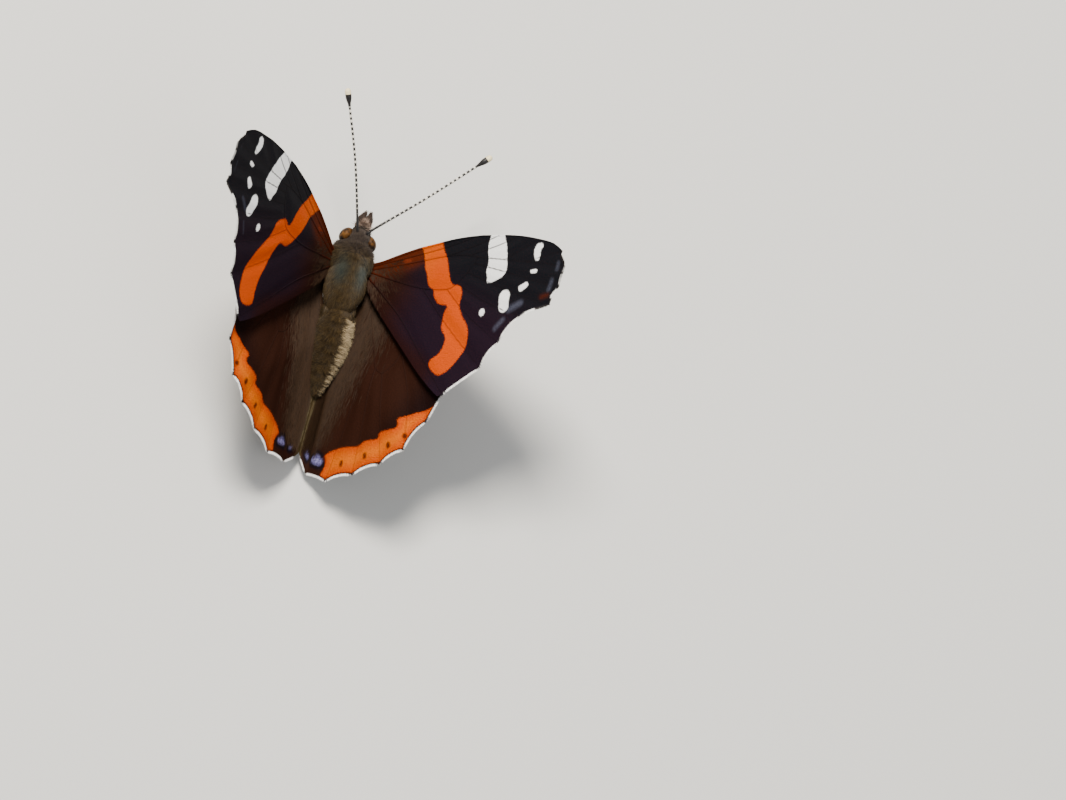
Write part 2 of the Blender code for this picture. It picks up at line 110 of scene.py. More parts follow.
def off_line(points, line):
    """Distance of flat points from a line of straight pieces."""
    best = np.full(len(points), 1e9)
    for a, b in zip(line, line[1:]):
        edge = b - a
        t = np.clip((points - a) @ edge / max(edge @ edge, 1e-12), 0.0, 1.0)
        best = np.minimum(best, np.linalg.norm(points - a - np.outer(t, edge), axis=1))
    return best


def within(points, outline):
    """How far flat points lie inside a closed outline; less than nothing outside it."""
    outline = np.asarray(outline, float)
    inside = np.zeros(len(points), bool)
    x, y = points.T
    for a, b in zip(outline, np.roll(outline, -1, 0)):
        if a[1] != b[1]:
            crossing = a[0] + (b[0] - a[0]) * (y - a[1]) / (b[1] - a[1])
            inside ^= ((a[1] > y) != (b[1] > y)) & (x < crossing)
    away = off_line(points, np.vstack([outline, outline[:1]]))
    return np.where(inside, away, -away)


def rounded(outline, step=0.3):
    """A closed outline with its corners eased into curves."""
    marks = np.asarray(outline, float)
    lapped = np.vstack([marks[-2:], marks, marks[:3]])
    line = smooth_line(lapped, step)
    first = np.argmin(np.linalg.norm(line - marks[0], axis=1))
    last = len(line) - 1 - np.argmin(np.linalg.norm(line[::-1] - marks[0], axis=1))
    return line[first:last]


def in_spots(points, spots):
    """How far flat points lie inside the nearest of some long round spots (end, end, radius)."""
    depth = [radius - off_line(points, np.array((a, b), float)) for a, b, radius in spots]
    return np.max(depth, axis=0)


# Meshes

def select_only(piece):
    bpy.ops.object.select_all(action="DESELECT")
    piece.select_set(True)
    bpy.context.view_layer.objects.active = piece


def points_of(piece):
    flat = np.empty(len(piece.data.vertices) * 3)
    piece.data.vertices.foreach_get("co", flat)
    return flat.reshape(-1, 3)


def move_points(piece, points):
    piece.data.vertices.foreach_set("co", np.ravel(points))
    piece.data.update()


def mark(piece, **fields):
    """Keeps named numbers on a piece's points, for its materials to read."""
    for name, values in fields.items():
        layer = piece.data.attributes.new(name, "FLOAT", "POINT")
        layer.data.foreach_set("value", np.asarray(values, np.float32))


def lay_out(piece, name, places):
    """A UV map from one place for each of the piece's points."""
    corners = np.empty(len(piece.data.loops), np.int32)
    piece.data.loops.foreach_get("vertex_index", corners)
    piece.data.uv_layers.new(name=name).data.foreach_set("uv", places[corners].astype(np.float32).ravel())


def apply(piece, kind, **settings):
    """Adds a modifier and applies it at once."""
    select_only(piece)
    modifier = piece.modifiers.new(kind.lower(), kind)
    for name, value in settings.items():
        setattr(modifier, name, value)
    bpy.ops.object.modifier_apply(modifier=modifier.name)


def join(name, pieces):
    select_only(pieces[0])
    for piece in pieces[1:]:
        piece.select_set(True)
    bpy.ops.object.join()
    pieces[0].name = name
    return pieces[0]


def rod(path, radii, sides=2):
    """A round rod of changing radius along a path, from a curve with a round bevel."""
    curve = bpy.data.curves.new("rod", "CURVE")
    curve.dimensions = "3D"
    spline = curve.splines.new("POLY")
    spline.points.add(len(path) - 1)
    for point, place, radius in zip(spline.points, path, radii):
        point.co = (*place, 1.0)
        point.radius = radius
    curve.bevel_depth = 1.0
    curve.bevel_resolution = sides
    curve.use_fill_caps = True
    piece = bpy.data.objects.new("rod", curve)
    bpy.context.scene.collection.objects.link(piece)
    select_only(piece)
    bpy.ops.object.convert(target="MESH")
    piece = bpy.context.object
    bpy.ops.object.shade_smooth()
    return piece


def finish_piece(piece, name, materials, replaced=()):
    """Names a piece, gives it its materials, and sets it on the one body."""
    piece.name = name
    piece.data.name = name
    slots = piece.data.materials
    for index, material in enumerate(materials):
        if index < len(slots):
            slots[index] = material
        else:
            slots.append(material)
    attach(piece, "root")
    if replaced:
        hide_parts(*replaced)


# Hair: closed three-sided tufts, each tapering from its root over a bend to its tip

TUFT_FACES = np.array([(0, 1, 4), (0, 4, 3), (1, 2, 5), (1, 5, 4), (2, 0, 3), (2, 3, 5),
                       (3, 4, 6), (4, 5, 6), (5, 3, 6), (0, 2, 1)])
PATCH = 0.0015                        # half a tuft's patch on its bake map
TUFT_PATCH = np.array([(-1, -1), (1, -1), (0, -0.8), (-0.6, 0), (0.6, 0), (0, 0.1), (0, 1)]) * PATCH


def tufts(name, roots, ups, ways, lengths, widths, rise, map_places, bend=0.5):
    """Tufts that leave their roots along ways, lifted by rise and bent back down to lie flat.

    rise is the sine of the angle at the root; bend is how much of it is lost towards the tip.
    """
    count = len(roots)
    across = unit(np.cross(ways, ups))
    rise = np.broadcast_to(np.asarray(rise, float), (count,))[:, None]
    first = unit(ways + ups * rise)
    second = unit(ways + ups * rise * (1.0 - bend) + across * RNG.normal(0, 0.12, count)[:, None])
    lengths, widths = lengths[:, None], widths[:, None]
    middle = roots + first * lengths * 0.5
    tip = middle + second * lengths * 0.5
    thick = ups * widths * 0.5
    points = np.stack([roots - across * widths / 2, roots + across * widths / 2, roots + thick,
                       middle - across * widths * 0.4, middle + across * widths * 0.4, middle + thick * 0.8,
                       tip], 1).reshape(-1, 3)
    faces = (TUFT_FACES[None] + 7 * np.arange(count)[:, None, None]).reshape(-1, 3)
    mesh = bpy.data.meshes.new(name)
    mesh.from_pydata(points.tolist(), [], faces[:, ::-1].tolist())
    piece = bpy.data.objects.new(name, mesh)
    bpy.context.scene.collection.objects.link(piece)
    mark(piece, tip=np.tile((0, 0, 0, 0.5, 0.5, 0.5, 1), count), luck=np.repeat(RNG.random(count), 7))
    lay_out(piece, "OFBake", (map_places[:, None] + TUFT_PATCH[None]).reshape(-1, 2))
    return piece


# Materials: one function adds a node, and layers of colour are laid by the marks on the points

def linear(code):
    """A hex colour as linear light."""
    parts = [int(code[i:i + 2], 16) / 255 for i in (1, 3, 5)]
    return (*[v / 12.92 if v <= 0.04045 else ((v + 0.055) / 1.055) ** 2.4 for v in parts], 1.0)


def node(tree, kind, settings=None, inputs=None):
    """Adds a node. An input given as a socket is linked, and any other is set."""
    made = tree.nodes.new("ShaderNode" + kind)
    for name, value in (settings or {}).items():
        setattr(made, name, value)
    for key, value in (inputs or {}).items():
        if isinstance(value, bpy.types.NodeSocket):
            tree.links.new(value, made.inputs[key])
        else:
            made.inputs[key].default_value = value
    return made


MIX_COLOURS = {"data_type": "RGBA"}
MULTIPLY_COLOURS = {"data_type": "RGBA", "blend_type": "MULTIPLY"}


def new_material(name, **surface):
    """A material with a Principled surface; returns it, its tree and the surface node."""
    material = bpy.data.materials.new(name)
    material.use_nodes = True
    tree = material.node_tree
    shader = tree.nodes["Principled BSDF"]
    for key, value in surface.items():
        shader.inputs[key.replace("_", " ").title().replace("Ior", "IOR")].default_value = value
    return material, tree, shader


def layered(tree, ground, ragged, layers):
    """Colours laid one over another, each where its mark on the points is over nothing.

    A layer is (mark, hex colour or socket, softness of its edge, how much of ragged frays it, strength).
    """
    colour = ground if isinstance(ground, bpy.types.NodeSocket) else linear(ground)
    for name, over, soft, fray, strength in layers:
        depth = node(tree, "Attribute", {"attribute_name": name}).outputs["Fac"]
        frayed = node(tree, "Math", {"operation": "MULTIPLY_ADD"}, {0: ragged, 1: fray, 2: depth})
        edge = node(tree, "MapRange", {"interpolation_type": "SMOOTHSTEP"},
                    {"Value": frayed.outputs[0], "From Min": -soft, "From Max": soft, "To Max": strength})
        over = over if isinstance(over, bpy.types.NodeSocket) else linear(over)
        colour = node(tree, "Mix", MIX_COLOURS, {0: edge.outputs[0], 6: colour, 7: over}).outputs[2]
    return colour


# Camera at the photo's angle, pale floor and soft studio light

VIEW_RIGHT, VIEW_UP = np.array((0.945, 0.264, 0.192)), np.array((-0.301, 0.933, 0.198))   # in the body's frame
VIEW_WIDTH = 118.7                    # millimetres across the picture at the butterfly
AIM_RIGHT, AIM_UP = 21.1, -11.5       # from the body's origin to the middle of the picture
LENS, FILM = 800.0, 36.0              # a long lens, as the photo's flat perspective shows


def turned(way):
    """A direction of the body's frame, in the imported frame."""
    return Vector(tilted(way)[0] - tilted((0, 0, 0))[0])


def make_camera():
    right = turned(VIEW_RIGHT).normalized()
    back = right.cross(turned(VIEW_UP)).normalized()
    up = back.cross(right)
    target = Vector(standing((0, 0, 0))[0]) + (right * AIM_RIGHT + up * AIM_UP) * MM
    data = bpy.data.cameras.new("camera")
    data.lens, data.sensor_width = LENS, FILM
    camera = bpy.data.objects.new("camera", data)
    bpy.context.scene.collection.objects.link(camera)
    distance = LENS * VIEW_WIDTH / FILM * MM
    camera.matrix_world = Matrix.Translation(target + back * distance) @ Matrix((right, up, back)).transposed().to_4x4()
    bpy.context.scene.camera = camera
    return right, up, back


def make_light(name, way, distance, size, power, colour):
    """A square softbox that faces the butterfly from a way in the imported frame."""
    data = bpy.data.lights.new(name, "AREA")
    data.size, data.energy, data.color = size, power, colour
    light = bpy.data.objects.new(name, data)
    bpy.context.scene.collection.objects.link(light)
    way = Vector(way).normalized()
    light.location = way * distance + Vector((0, 0, 0.015))
    light.rotation_euler = way.to_track_quat("Z", "Y").to_euler()


def make_stage():
    bpy.ops.object.select_all(action="DESELECT")
    bpy.ops.mesh.primitive_plane_add(size=3.0)
    floor = bpy.context.object
    floor.name = "floor"
    material, tree, shader = new_material("pale studio floor", roughness=0.8, specular_ior_level=0.2)
    shader.inputs["Base Color"].default_value = linear("#D8D6D0")
    floor.data.materials.append(material)
    right, up, back = make_camera()
    make_light("key softbox", back * 0.8 + right * 0.02 + up * 0.7, 0.5, 0.14, 5.6, (1.0, 0.96, 0.9))
    make_light("fill softbox", back * 0.9 + right * 0.5 - up * 0.4, 0.6, 0.4, 1.1, (0.9, 0.95, 1.0))
    world = bpy.data.worlds.new("studio")
    bpy.context.scene.world = world
    world.use_nodes = True
    world.node_tree.nodes["Background"].inputs["Color"].default_value = linear("#E6EAF0")
    world.node_tree.nodes["Background"].inputs["Strength"].default_value = 0.5


make_stage()


# The wings' flat plans, in millimetres: the outline by margins, and the veins

FORE = {
    "front": [(-0.9, -0.4), (0.1, 0.25), (1.4, 1.2), (2.9, 2.5), (5.5, 4.6), (7.8, 6.25), (10.4, 8.1),
              (13.2, 9.8), (16.4, 11.4), (19.2, 12.65), (22.3, 13.7), (24.8, 14.3), (26.4, 14.15)],
    "vein_ends": [(26.4, 14.15), (28.1, 13.15), (28.8, 10.6), (28.85, 8.4), (25.6, 5.5), (24.45, 1.6),
                  (23.75, -2.0), (20.9, -6.9)],
    "dips": [0.0, 0.04, 0.3, 0.1, 0.3, 0.3, 0.05],
    "back": [(20.9, -6.9), (20.1, -7.3), (16.0, -6.6), (11.0, -5.3), (6.0, -4.0), (2.4, -3.05), (1.0, -2.5),
             (-0.6, -1.6)],
    "veins": [
        [(0.0, 0.0), (5.2, 3.6), (9.6, 6.8), (13.2, 9.8)],
        [(0.0, -0.5), (5.5, 2.9), (10.5, 6.1), (13.4, 7.5), (14.9, 8.0)],
        [(10.5, 6.1), (13.6, 8.8), (16.4, 11.4)],
        [(13.4, 7.5), (16.5, 10.0), (19.2, 12.65)],
        [(14.9, 8.0), (19.0, 9.6), (22.0, 10.75), (28.1, 13.15)],
        [(19.0, 9.6), (20.8, 11.8), (22.3, 13.7)],
        [(22.0, 10.75), (24.6, 12.8), (26.4, 14.15)],
        [(14.9, 7.2), (21.5, 8.9), (28.8, 10.6)],
        [(14.6, 5.9), (21.8, 7.0), (28.85, 8.4)],
        [(13.9, 4.2), (19.8, 4.45), (25.6, 5.5)],
        [(12.9, 3.0), (18.4, 1.9), (24.45, 1.6)],
        [(9.2, 1.4), (16.0, -0.4), (23.75, -2.0)],
        [(0.0, -0.8), (4.6, 0.2), (9.2, 1.4), (12.9, 3.0), (13.9, 4.2)],
        [(14.9, 8.0), (14.9, 7.2), (14.6, 5.9), (13.9, 4.2)],
        [(0.0, -1.4), (8.0, -2.6), (15.0, -4.9), (20.9, -6.9)],
    ],
}
HIND = {
    "front": [(-1.2, 0.5), (0.2, 0.9), (3.0, 2.1), (7.0, 2.7), (11.5, 2.2), (15.0, 0.1), (17.2, -3.8)],
    "vein_ends": [(17.2, -3.8), (17.8, -8.1), (17.2, -11.9), (16.7, -15.8), (13.9, -18.2), (10.3, -20.3),
                  (6.4, -21.9), (2.2, -21.9), (-0.3, -20.6)],
    "dips": [0.0, 0.25, 0.3, 0.3, 0.3, 0.3, 0.25, 0.0],
    "back": [(-0.3, -20.6), (-1.0, -19.0), (-1.6, -15.0), (-2.0, -9.0), (-1.9, -4.0), (-1.3, -1.0)],
    "veins": [
        [(0.0, 0.1), (7.0, 0.9), (12.6, -0.6), (17.2, -3.8)],
        [(0.0, -0.1), (5.2, -1.7), (8.0, -3.9), (8.6, -5.2)],
        [(5.2, -1.7), (11.6, -4.7), (17.8, -8.1)],
        [(8.0, -3.9), (13.1, -7.8), (17.2, -11.9)],
        [(8.6, -5.2), (13.0, -10.2), (16.7, -15.8)],
        [(7.7, -8.3), (10.9, -13.0), (13.9, -18.2)],
        [(6.4, -7.9), (8.5, -14.0), (10.3, -20.3)],
        [(4.4, -5.6), (5.8, -13.6), (6.4, -21.9)],
        [(0.3, -0.6), (2.4, -3.2), (4.4, -5.6), (6.4, -7.9), (7.7, -8.3)],
        [(8.6, -5.2), (8.5, -6.8), (7.7, -8.3)],
        [(0.8, -1.3), (2.3, -10.5), (2.2, -21.9)],
    ],
}

# Their markings, on the same plans

BAND = {
    "right": [(5.9, 5.5), (7.9, 7.2), (9.4, 6.4), (11.0, 5.5), (12.1, 4.6), (13.3, 3.8), (14.6, 4.2), (15.6, 3.4),
              (15.9, 2.4), (17.1, 1.6), (18.7, 1.0), (19.6, 0.1), (20.0, -1.2), (19.9, -2.9), (19.5, -4.3),
              (18.7, -5.3), (17.5, -5.4), (16.3, -4.8), (17.0, -3.2), (16.6, -1.6), (15.2, -0.9), (14.4, 0.4),
              (14.3, 1.5), (12.8, 1.1), (11.5, 1.5), (11.0, 2.0), (9.9, 2.1), (9.0, 2.9), (7.9, 3.6), (6.8, 4.6)],
    "left": [(7.8, 7.3), (6.0, 5.5), (8.1, 4.2), (10.0, 2.2), (12.3, 1.1), (14.2, 1.4), (16.0, -0.8), (17.3, -2.4),
             (18.0, -4.0), (18.3, -5.4), (20.4, -5.2), (21.3, -3.6), (20.7, -1.4), (19.2, 0.4), (16.6, 2.2),
             (15.6, 3.8), (13.8, 4.2), (12.6, 3.4), (11.3, 5.1), (9.4, 6.4)],
}
WHITE_BAR = [(15.3, 11.4), (16.8, 12.1), (17.6, 11.5), (18.5, 10.8), (19.3, 9.8), (20.0, 8.9), (20.0, 8.1), (19.6, 7.4),
             (18.3, 6.3), (17.8, 6.9), (17.2, 7.4), (16.9, 8.3), (15.9, 9.4), (15.4, 10.4)]
TIP_BAR = [(22.5, 13.25), (23.15, 13.65), (23.6, 13.4), (23.45, 12.95), (23.65, 12.45), (23.85, 11.9),
           (23.65, 11.65), (23.3, 11.65), (22.95, 11.9), (22.65, 12.3), (22.5, 12.75)]
WHITE_SPOTS = [((23.75, 10.35), (24.3, 10.65), 0.22), ((23.45, 8.05), (23.9, 8.7), 0.36),
               ((21.75, 6.25), (22.3, 5.3), 0.77), ((19.75, 3.3), (19.8, 3.2), 0.4)]
FLECKS = [((28.2, 12.9), (28.3, 12.5), 0.3), ((28.4, 12.0), (28.6, 11.2), 0.3), ((28.5, 10.0), (28.5, 9.5), 0.4),
          ((26.7, 6.7), (25.9, 5.8), 0.5)]    # white parts of the fringe round the forewing's tip
ORANGE_EDGE = [(17.3, -9.4), (16.3, -10.6), (14.3, -12.0), (13.5, -12.6), (14.0, -13.6), (11.9, -14.6),
               (11.9, -15.4), (10.1, -16.1), (9.2, -16.9), (6.3, -17.8), (4.6, -19.2), (5.4, -19.9), (5.3, -21.9),
               (6.4, -23.0), (11.0, -21.6), (15.0, -19.2), (18.2, -16.2), (18.6, -12.0), (18.6, -9.0)]
ORANGE_DOTS = [((15.5, -14.1), (15.75, -14.25), 0.25), ((13.9, -15.6), (14.1, -15.8), 0.28),
               ((11.0, -17.5), (11.15, -17.75), 0.26), ((7.85, -19.1), (7.95, -19.4), 0.24)]
DUST_SPOTS = [((27.2, 10.9), (27.4, 9.8), 0.25), ((24.5, 6.7), (23.3, 5.3), 0.4), ((23.3, 4.0), (22.8, 2.6), 0.3),
              ((26.8, 12.9), (27.1, 12.2), 0.2)]
VIOLET_SPOTS = [((3.1, -19.75), (4.4, -19.8), 0.36), ((3.4, -19.4), (3.9, -19.5), 0.3), ((1.0, -19.6), (1.5, -19.9), 0.2)]


def wing_margin(plan, inset):
    """The outline, with the outer margin drawn in to leave room for the fringe."""
    front = smooth_line(plan["front"], 0.8)
    ends = np.array(plan["vein_ends"], float)
    outer = []
    for a, b, dip in zip(ends, ends[1:], plan["dips"]):
        inward = unit(np.array((b[1] - a[1], a[0] - b[0])))
        for t in np.linspace(0, 1, 9)[1:]:
            outer.append(a + (b - a) * t + inward * (dip * 4 * t * (1 - t)))
    outer = np.array(outer)
    along = unit(np.gradient(outer, axis=0))
    drawn = outer + np.stack([along[:, 1], -along[:, 0]], 1) * inset
    back = smooth_line(plan["back"], 0.8)[1:]
    return front, drawn, back


# The wings' bent middle surfaces

BELLY_FRONT, BELLY_LENGTH = -1.7, 9.8
BELLY_BACK = BELLY_FRONT - BELLY_LENGTH
BELLY_HALF_WIDTH = ((0.0, 1.42), (0.12, 1.7), (0.35, 1.86), (0.55, 1.72), (0.75, 1.3), (0.9, 0.86), (1.0, 0.42))
STACK = 1.18                          # forewing over hindwing where they overlap
FORE_ROOT, HIND_ROOT = (2.25, 4.41, 0.0), (2.25, 1.41, -0.4)
RAISED_PITCHED_SWEPT = {              # degrees
    "right": {"fore": (55.7, 6.2, -24.9), "hind": (54.9, 1.8, -11.5)},
    "left": {"fore": (56.3, 6.2, -20.9), "hind": (51.4, -2.6, -4.5)},
}
FORE_BACK_START, FORE_BACK_SLOPE = -2.25, -0.243
BESIDE_BELLY, FROM_MIDLINE = 0.15, 0.12     # the membrane folds round the abdomen, closer than its solid


def belly_radius(y):
    return np.interp((BELLY_FRONT - y) / BELLY_LENGTH, *np.array(BELLY_HALF_WIDTH).T)


def belly_height(y):
    return -0.75 - 0.3 * (BELLY_FRONT - y) / BELLY_LENGTH


def behind_forewing(p, q):
    """How far a point of the forewing's plane lies behind its hind margin."""
    return (FORE_BACK_START + FORE_BACK_SLOPE * p - q) / hypot(1.0, FORE_BACK_SLOPE)


class Sheet:
    """The middle surface of a right wing, flat until a kind of wing bends it."""

    def __init__(self, root, angles):
        raised, pitched, swept = (radians(v) for v in angles)
        out = np.array((cos(raised), 0, sin(raised)))
        up = np.array((-sin(raised), 0, cos(raised)))
        ahead = np.array((0, 1, 0)) * cos(pitched) + up * sin(pitched)
        self.root = np.array(root)
        self.along_p = out * cos(swept) + ahead * sin(swept)
        self.along_q = ahead * cos(swept) - out * sin(swept)
        self.up = np.cross(self.along_p, self.along_q)

    def flat(self, p, q):
        return self.root + np.outer(p, self.along_p) + np.outer(q, self.along_q)

    def normal(self, p, q, step=0.05):
        a = self.mid(p + step, q) - self.mid(p - step, q)
        b = self.mid(p, q + step) - self.mid(p, q - step)
        return unit(np.cross(a, b))


class ForeSheet(Sheet):
    def arch(self, p, q):
        bulge = 0.35 * np.sin(pi * np.clip(p / 30.0, 0.0, 1.0))
        return bulge + 0.45 * ease(-6.0, 0.5, behind_forewing(p, q)) * ease(0.0, 6.0, p)

    def mid(self, p, q):
        return self.flat(p, q) + self.arch(p, q)[:, None] * self.up


class HindSheet(Sheet):
    def __init__(self, root, angles, fore):
        super().__init__(root, angles)
        self.fore = fore

    def under_forewing(self, points):
        """The points lowered where the forewing lies over them."""
        from_root = points - self.fore.root
        p, q, high = (from_root @ way for way in (self.fore.along_p, self.fore.along_q, self.fore.up))
        too_high = high - (self.fore.arch(p, q) - STACK)
        covered = 1.0 - ease(0.6, 7.0, behind_forewing(p, q))
        return points - np.outer(soft_over(too_high, 0.0, 0.12) * covered, self.fore.up)

    def beside_abdomen(self, points):
        """The points moved out round the abdomen, off the midline and up from under the body."""
        x, y, z = points.T
        height = belly_height(np.maximum(y, BELLY_BACK))
        ends = ease(BELLY_BACK - 1.7, BELLY_BACK - 0.1, y) * (1.0 - ease(-1.6, 0.0, y))
        need = (belly_radius(np.maximum(y, BELLY_BACK)) + BESIDE_BELLY) * ends
        x, z = np.maximum(x, 0.02), z - height
        far = np.hypot(x, z)
        out = np.where(need > 0.05, soft_over(far, need, 0.12) / far, 1.0)
        return np.stack([soft_over(x * out, FROM_MIDLINE, 0.05), y, soft_over(z * out + height, -1.9, 0.3)], 1)

    def mid(self, p, q):
        arched = self.flat(p, q) + (0.3 * np.sin(pi * np.clip(p / 22.0, 0.0, 1.0)))[:, None] * self.up
        points = self.under_forewing(arched)
        return np.where((points[:, 1] < 0.0)[:, None], self.beside_abdomen(points), points)


# A wing piece is made flat, with its height over the middle surface as z, and bent last

MEMBRANE = 0.14                       # thickness
CELL = 0.25                           # grid that lets the membrane bend
FRINGE = 0.28                         # how far the fringe stands past the membrane
NESTLE = {"fore": -0.17, "hind": 0.17}    # the two wings lie closer than their solids' middles


def bend(piece, sheet, side, nestle, veins):
    """Bends a flat piece onto its sheet, the membrane swelling a little between the veins."""
    p, q, height = points_of(piece).T
    billow = 0.1 * ease(0.1, 1.3, np.min([off_line(np.stack([p, q], 1), v) for v in veins], axis=0))
    points = sheet.mid(p, q) + sheet.normal(p, q) * (height + nestle + billow)[:, None]
    points[:, 0] *= side
    move_points(piece, standing(points))
    if side < 0:
        piece.data.flip_normals()


def flat_membrane(outline):
    """A disc moved onto the outline and cut into small cells, then given its thickness."""
    bpy.ops.object.select_all(action="DESELECT")
    bpy.ops.mesh.primitive_circle_add(vertices=len(outline), fill_type="NGON")
    piece = bpy.context.object
    move_points(piece, np.column_stack([outline, np.zeros(len(outline))]))
    bpy.ops.object.mode_set(mode="EDIT")
    for axis, way in enumerate(((1, 0, 0), (0, 1, 0))):
        for place in np.arange(outline[:, axis].min() + CELL / 2, outline[:, axis].max(), CELL):
            bpy.ops.mesh.select_all(action="SELECT")
            bpy.ops.mesh.bisect(plane_co=Vector(way) * place, plane_no=way, threshold=1e-5)
    bpy.ops.object.mode_set(mode="OBJECT")
    if piece.data.polygons[0].normal.z < 0:
        piece.data.flip_normals()
    for _ in range(2):
        piece.data.materials.append(None)
    apply(piece, "SOLIDIFY", thickness=MEMBRANE, offset=0.0, material_offset=1, material_offset_rim=0)
    select_only(piece)
    bpy.ops.object.shade_smooth_by_angle(angle=radians(50))
    return piece


def flat_veins(front, veins, outline):
    """Veins as fine rods sunk in the membrane, thickest at the root and along the front margin."""
    rods = []
    held = [v[within(v, outline) > 0.06] for v in veins]
    for line, root, end in [(front, 0.2, 0.1)] + [(v, 0.15, 0.08) for v in held]:
        reach = np.linalg.norm(line, axis=1)
        radii = root + (end - root) * ease(0.0, 24.0, reach)
        rods.append(rod(np.column_stack([line, np.zeros(len(line))]), radii, 1))
    piece = join("veins", rods)
    for _ in range(2):
        piece.data.materials.append(None)
    for face in piece.data.polygons:
        face.material_index = int(face.center.z < 0)
    return piece


def inner_crest(flat):
    """The pale hairy edge of a hindwing's inner margin, behind the abdomen."""
    off_margin = off_line(flat, smooth_line(HIND["back"], 0.8))
    return (1.0 - ease(0.1, 0.9, off_margin)) * ease(-9.5, -13.0, flat[:, 1]) - 0.5


def wing_marks(kind, word, flat, front, outer, veins):
    """Where each marking of a wing lies, for points on its plan."""
    p, q = flat.T
    edge = off_line(flat, outer)
    vein = np.min([off_line(flat, v) for v in veins], axis=0)
    fields = {"edge": edge, "vein": 0.09 - vein}
    if kind == "fore":
        costa = off_line(flat, front)
        fields["band"] = within(flat, rounded(BAND[word]))
        bars = np.maximum(within(flat, rounded(WHITE_BAR)), within(flat, rounded(TIP_BAR, 0.15)))
        fields["white"] = np.maximum(bars, in_spots(flat, WHITE_SPOTS))
        fields["split"] = np.minimum(0.07 - vein, fields["white"])
        glow = (1.0 - ease(0.3, 3.2, costa)) * (1.0 - ease(6.0, 9.5, p)) - 0.4
        tip_glow = in_spots(flat, [((26.9, 8.6), (27.7, 9.2), 0.4)]) - (0.28 if word == "right" else 0.7)
        fields["costa_glow"] = np.maximum(glow, tip_glow)
        fields["brown"] = (1.0 - ease(2.0, 13.0, p + 0.9 * np.maximum(q, 0.0))) * 1.2 - 0.5
        fields["hind_brown"] = ease(1.2, 4.5, -q - 0.12 * p) * (1.0 - ease(15.0, 20.0, p)) - 0.5
        # A violet sheen painted over the forewing's outer hind part, weaker on the left wing, which meets the light at
        # another angle
        sheen = (1.0 - ease(-1.0, 5.5, q - 0.12 * p)) * ease(4.0, 8.0, p)
        fields["violet"] = sheen * (1.0 if word == "right" else 0.75) - 0.5
        fields["dust"] = in_spots(flat, DUST_SPOTS) - (0.05 if word == "right" else 0.3)
        fields["smudge"] = in_spots(flat, [((4.2, 2.5), (5.2, 3.1), 0.16)])
    else:
        fields["orange"] = np.minimum(within(flat, rounded(ORANGE_EDGE)), edge - 0.22)
        fields["dots"] = in_spots(flat, ORANGE_DOTS)
        fields["violet"] = in_spots(flat, VIOLET_SPOTS) - (0.0 if word == "right" else 0.12)
        fields["violet_ring"] = fields["violet"] + 0.55
        fields["brown"] = (1.0 - ease(5.0, 15.0, np.hypot(p - 3.0, (q + 6.0) * 0.62))) * 1.3 - 0.5
        fields["olive"] = (1.0 - ease(0.8, 6.5, p)) * (1.0 - ease(17.0, 19.5, -q)) * 1.1 - 0.5
        fields["eyespots"] = in_spots(flat, [(spot[0], spot[1], 0.75) for spot in ORANGE_DOTS])
        fields["cream"] = in_spots(flat, [((8.5, 1.6), (10.5, 0.4), 0.7)])
        fields["crest"] = inner_crest(flat)
    return fields


def mark_wing(piece, kind, word, front, outer, veins):
    flat = points_of(piece)[:, :2]
    mark(piece, **wing_marks(kind, word, flat, front, outer, veins))
    lay_out(piece, "wing", flat)


# Wing materials

def scales(tree):
    """Fine rows of wing scales and their uneven tone; a real scale is 0.1 mm long and 0.05 mm wide."""
    place = node(tree, "UVMap", {"uv_map": "wing"}).outputs[0]
    tone = node(tree, "TexNoise", {}, {"Vector": place, "Scale": 7.0, "Detail": 3.0, "Roughness": 0.7})
    blotch = node(tree, "TexNoise", {}, {"Vector": place, "Scale": 0.9, "Detail": 2.0})
    rows = node(tree, "Mapping", {}, {"Vector": place, "Scale": (9.0, 16.0, 1.0)})
    scale = node(tree, "TexVoronoi", {}, {"Vector": rows.outputs[0], "Scale": 1.0, "Randomness": 0.5})
    ragged = node(tree, "Math", {"operation": "SUBTRACT"}, {0: tone.outputs["Fac"], 1: 0.5})
    return place, tone.outputs["Fac"], blotch.outputs["Fac"], scale, ragged.outputs[0]


def finish_wing_material(tree, shader, colour, tone, scale, lightest=1.35):
    """Scale-by-scale tone over the colour, and the scales' relief."""
    shade = node(tree, "MapRange", {}, {"Value": tone, "From Min": 0.3, "From Max": 0.7, "To Min": 0.65,
                                        "To Max": lightest})
    each = node(tree, "MapRange", {}, {"Value": scale.outputs["Distance"], "From Max": 0.8, "To Min": 1.12,
                                       "To Max": 0.75})
    both = node(tree, "Math", {"operation": "MULTIPLY"}, {0: shade.outputs[0], 1: each.outputs[0]})
    white = node(tree, "Attribute", {"attribute_name": "white"}).outputs["Fac"]
    depth = node(tree, "MapRange", {}, {"Value": white, "From Max": 0.1, "To Min": 1.0, "To Max": 0.3})
    toned = node(tree, "Mix", MULTIPLY_COLOURS, {0: depth.outputs[0], 6: colour, 7: both.outputs[0]})
    tree.links.new(toned.outputs[2], shader.inputs["Base Color"])
    bump = node(tree, "Bump", {}, {"Strength": 0.35, "Distance": 0.00003, "Height": scale.outputs["Distance"]})
    tree.links.new(bump.outputs[0], shader.inputs["Normal"])


WING_SURFACE = {"roughness": 0.6, "specular_ior_level": 0.03}


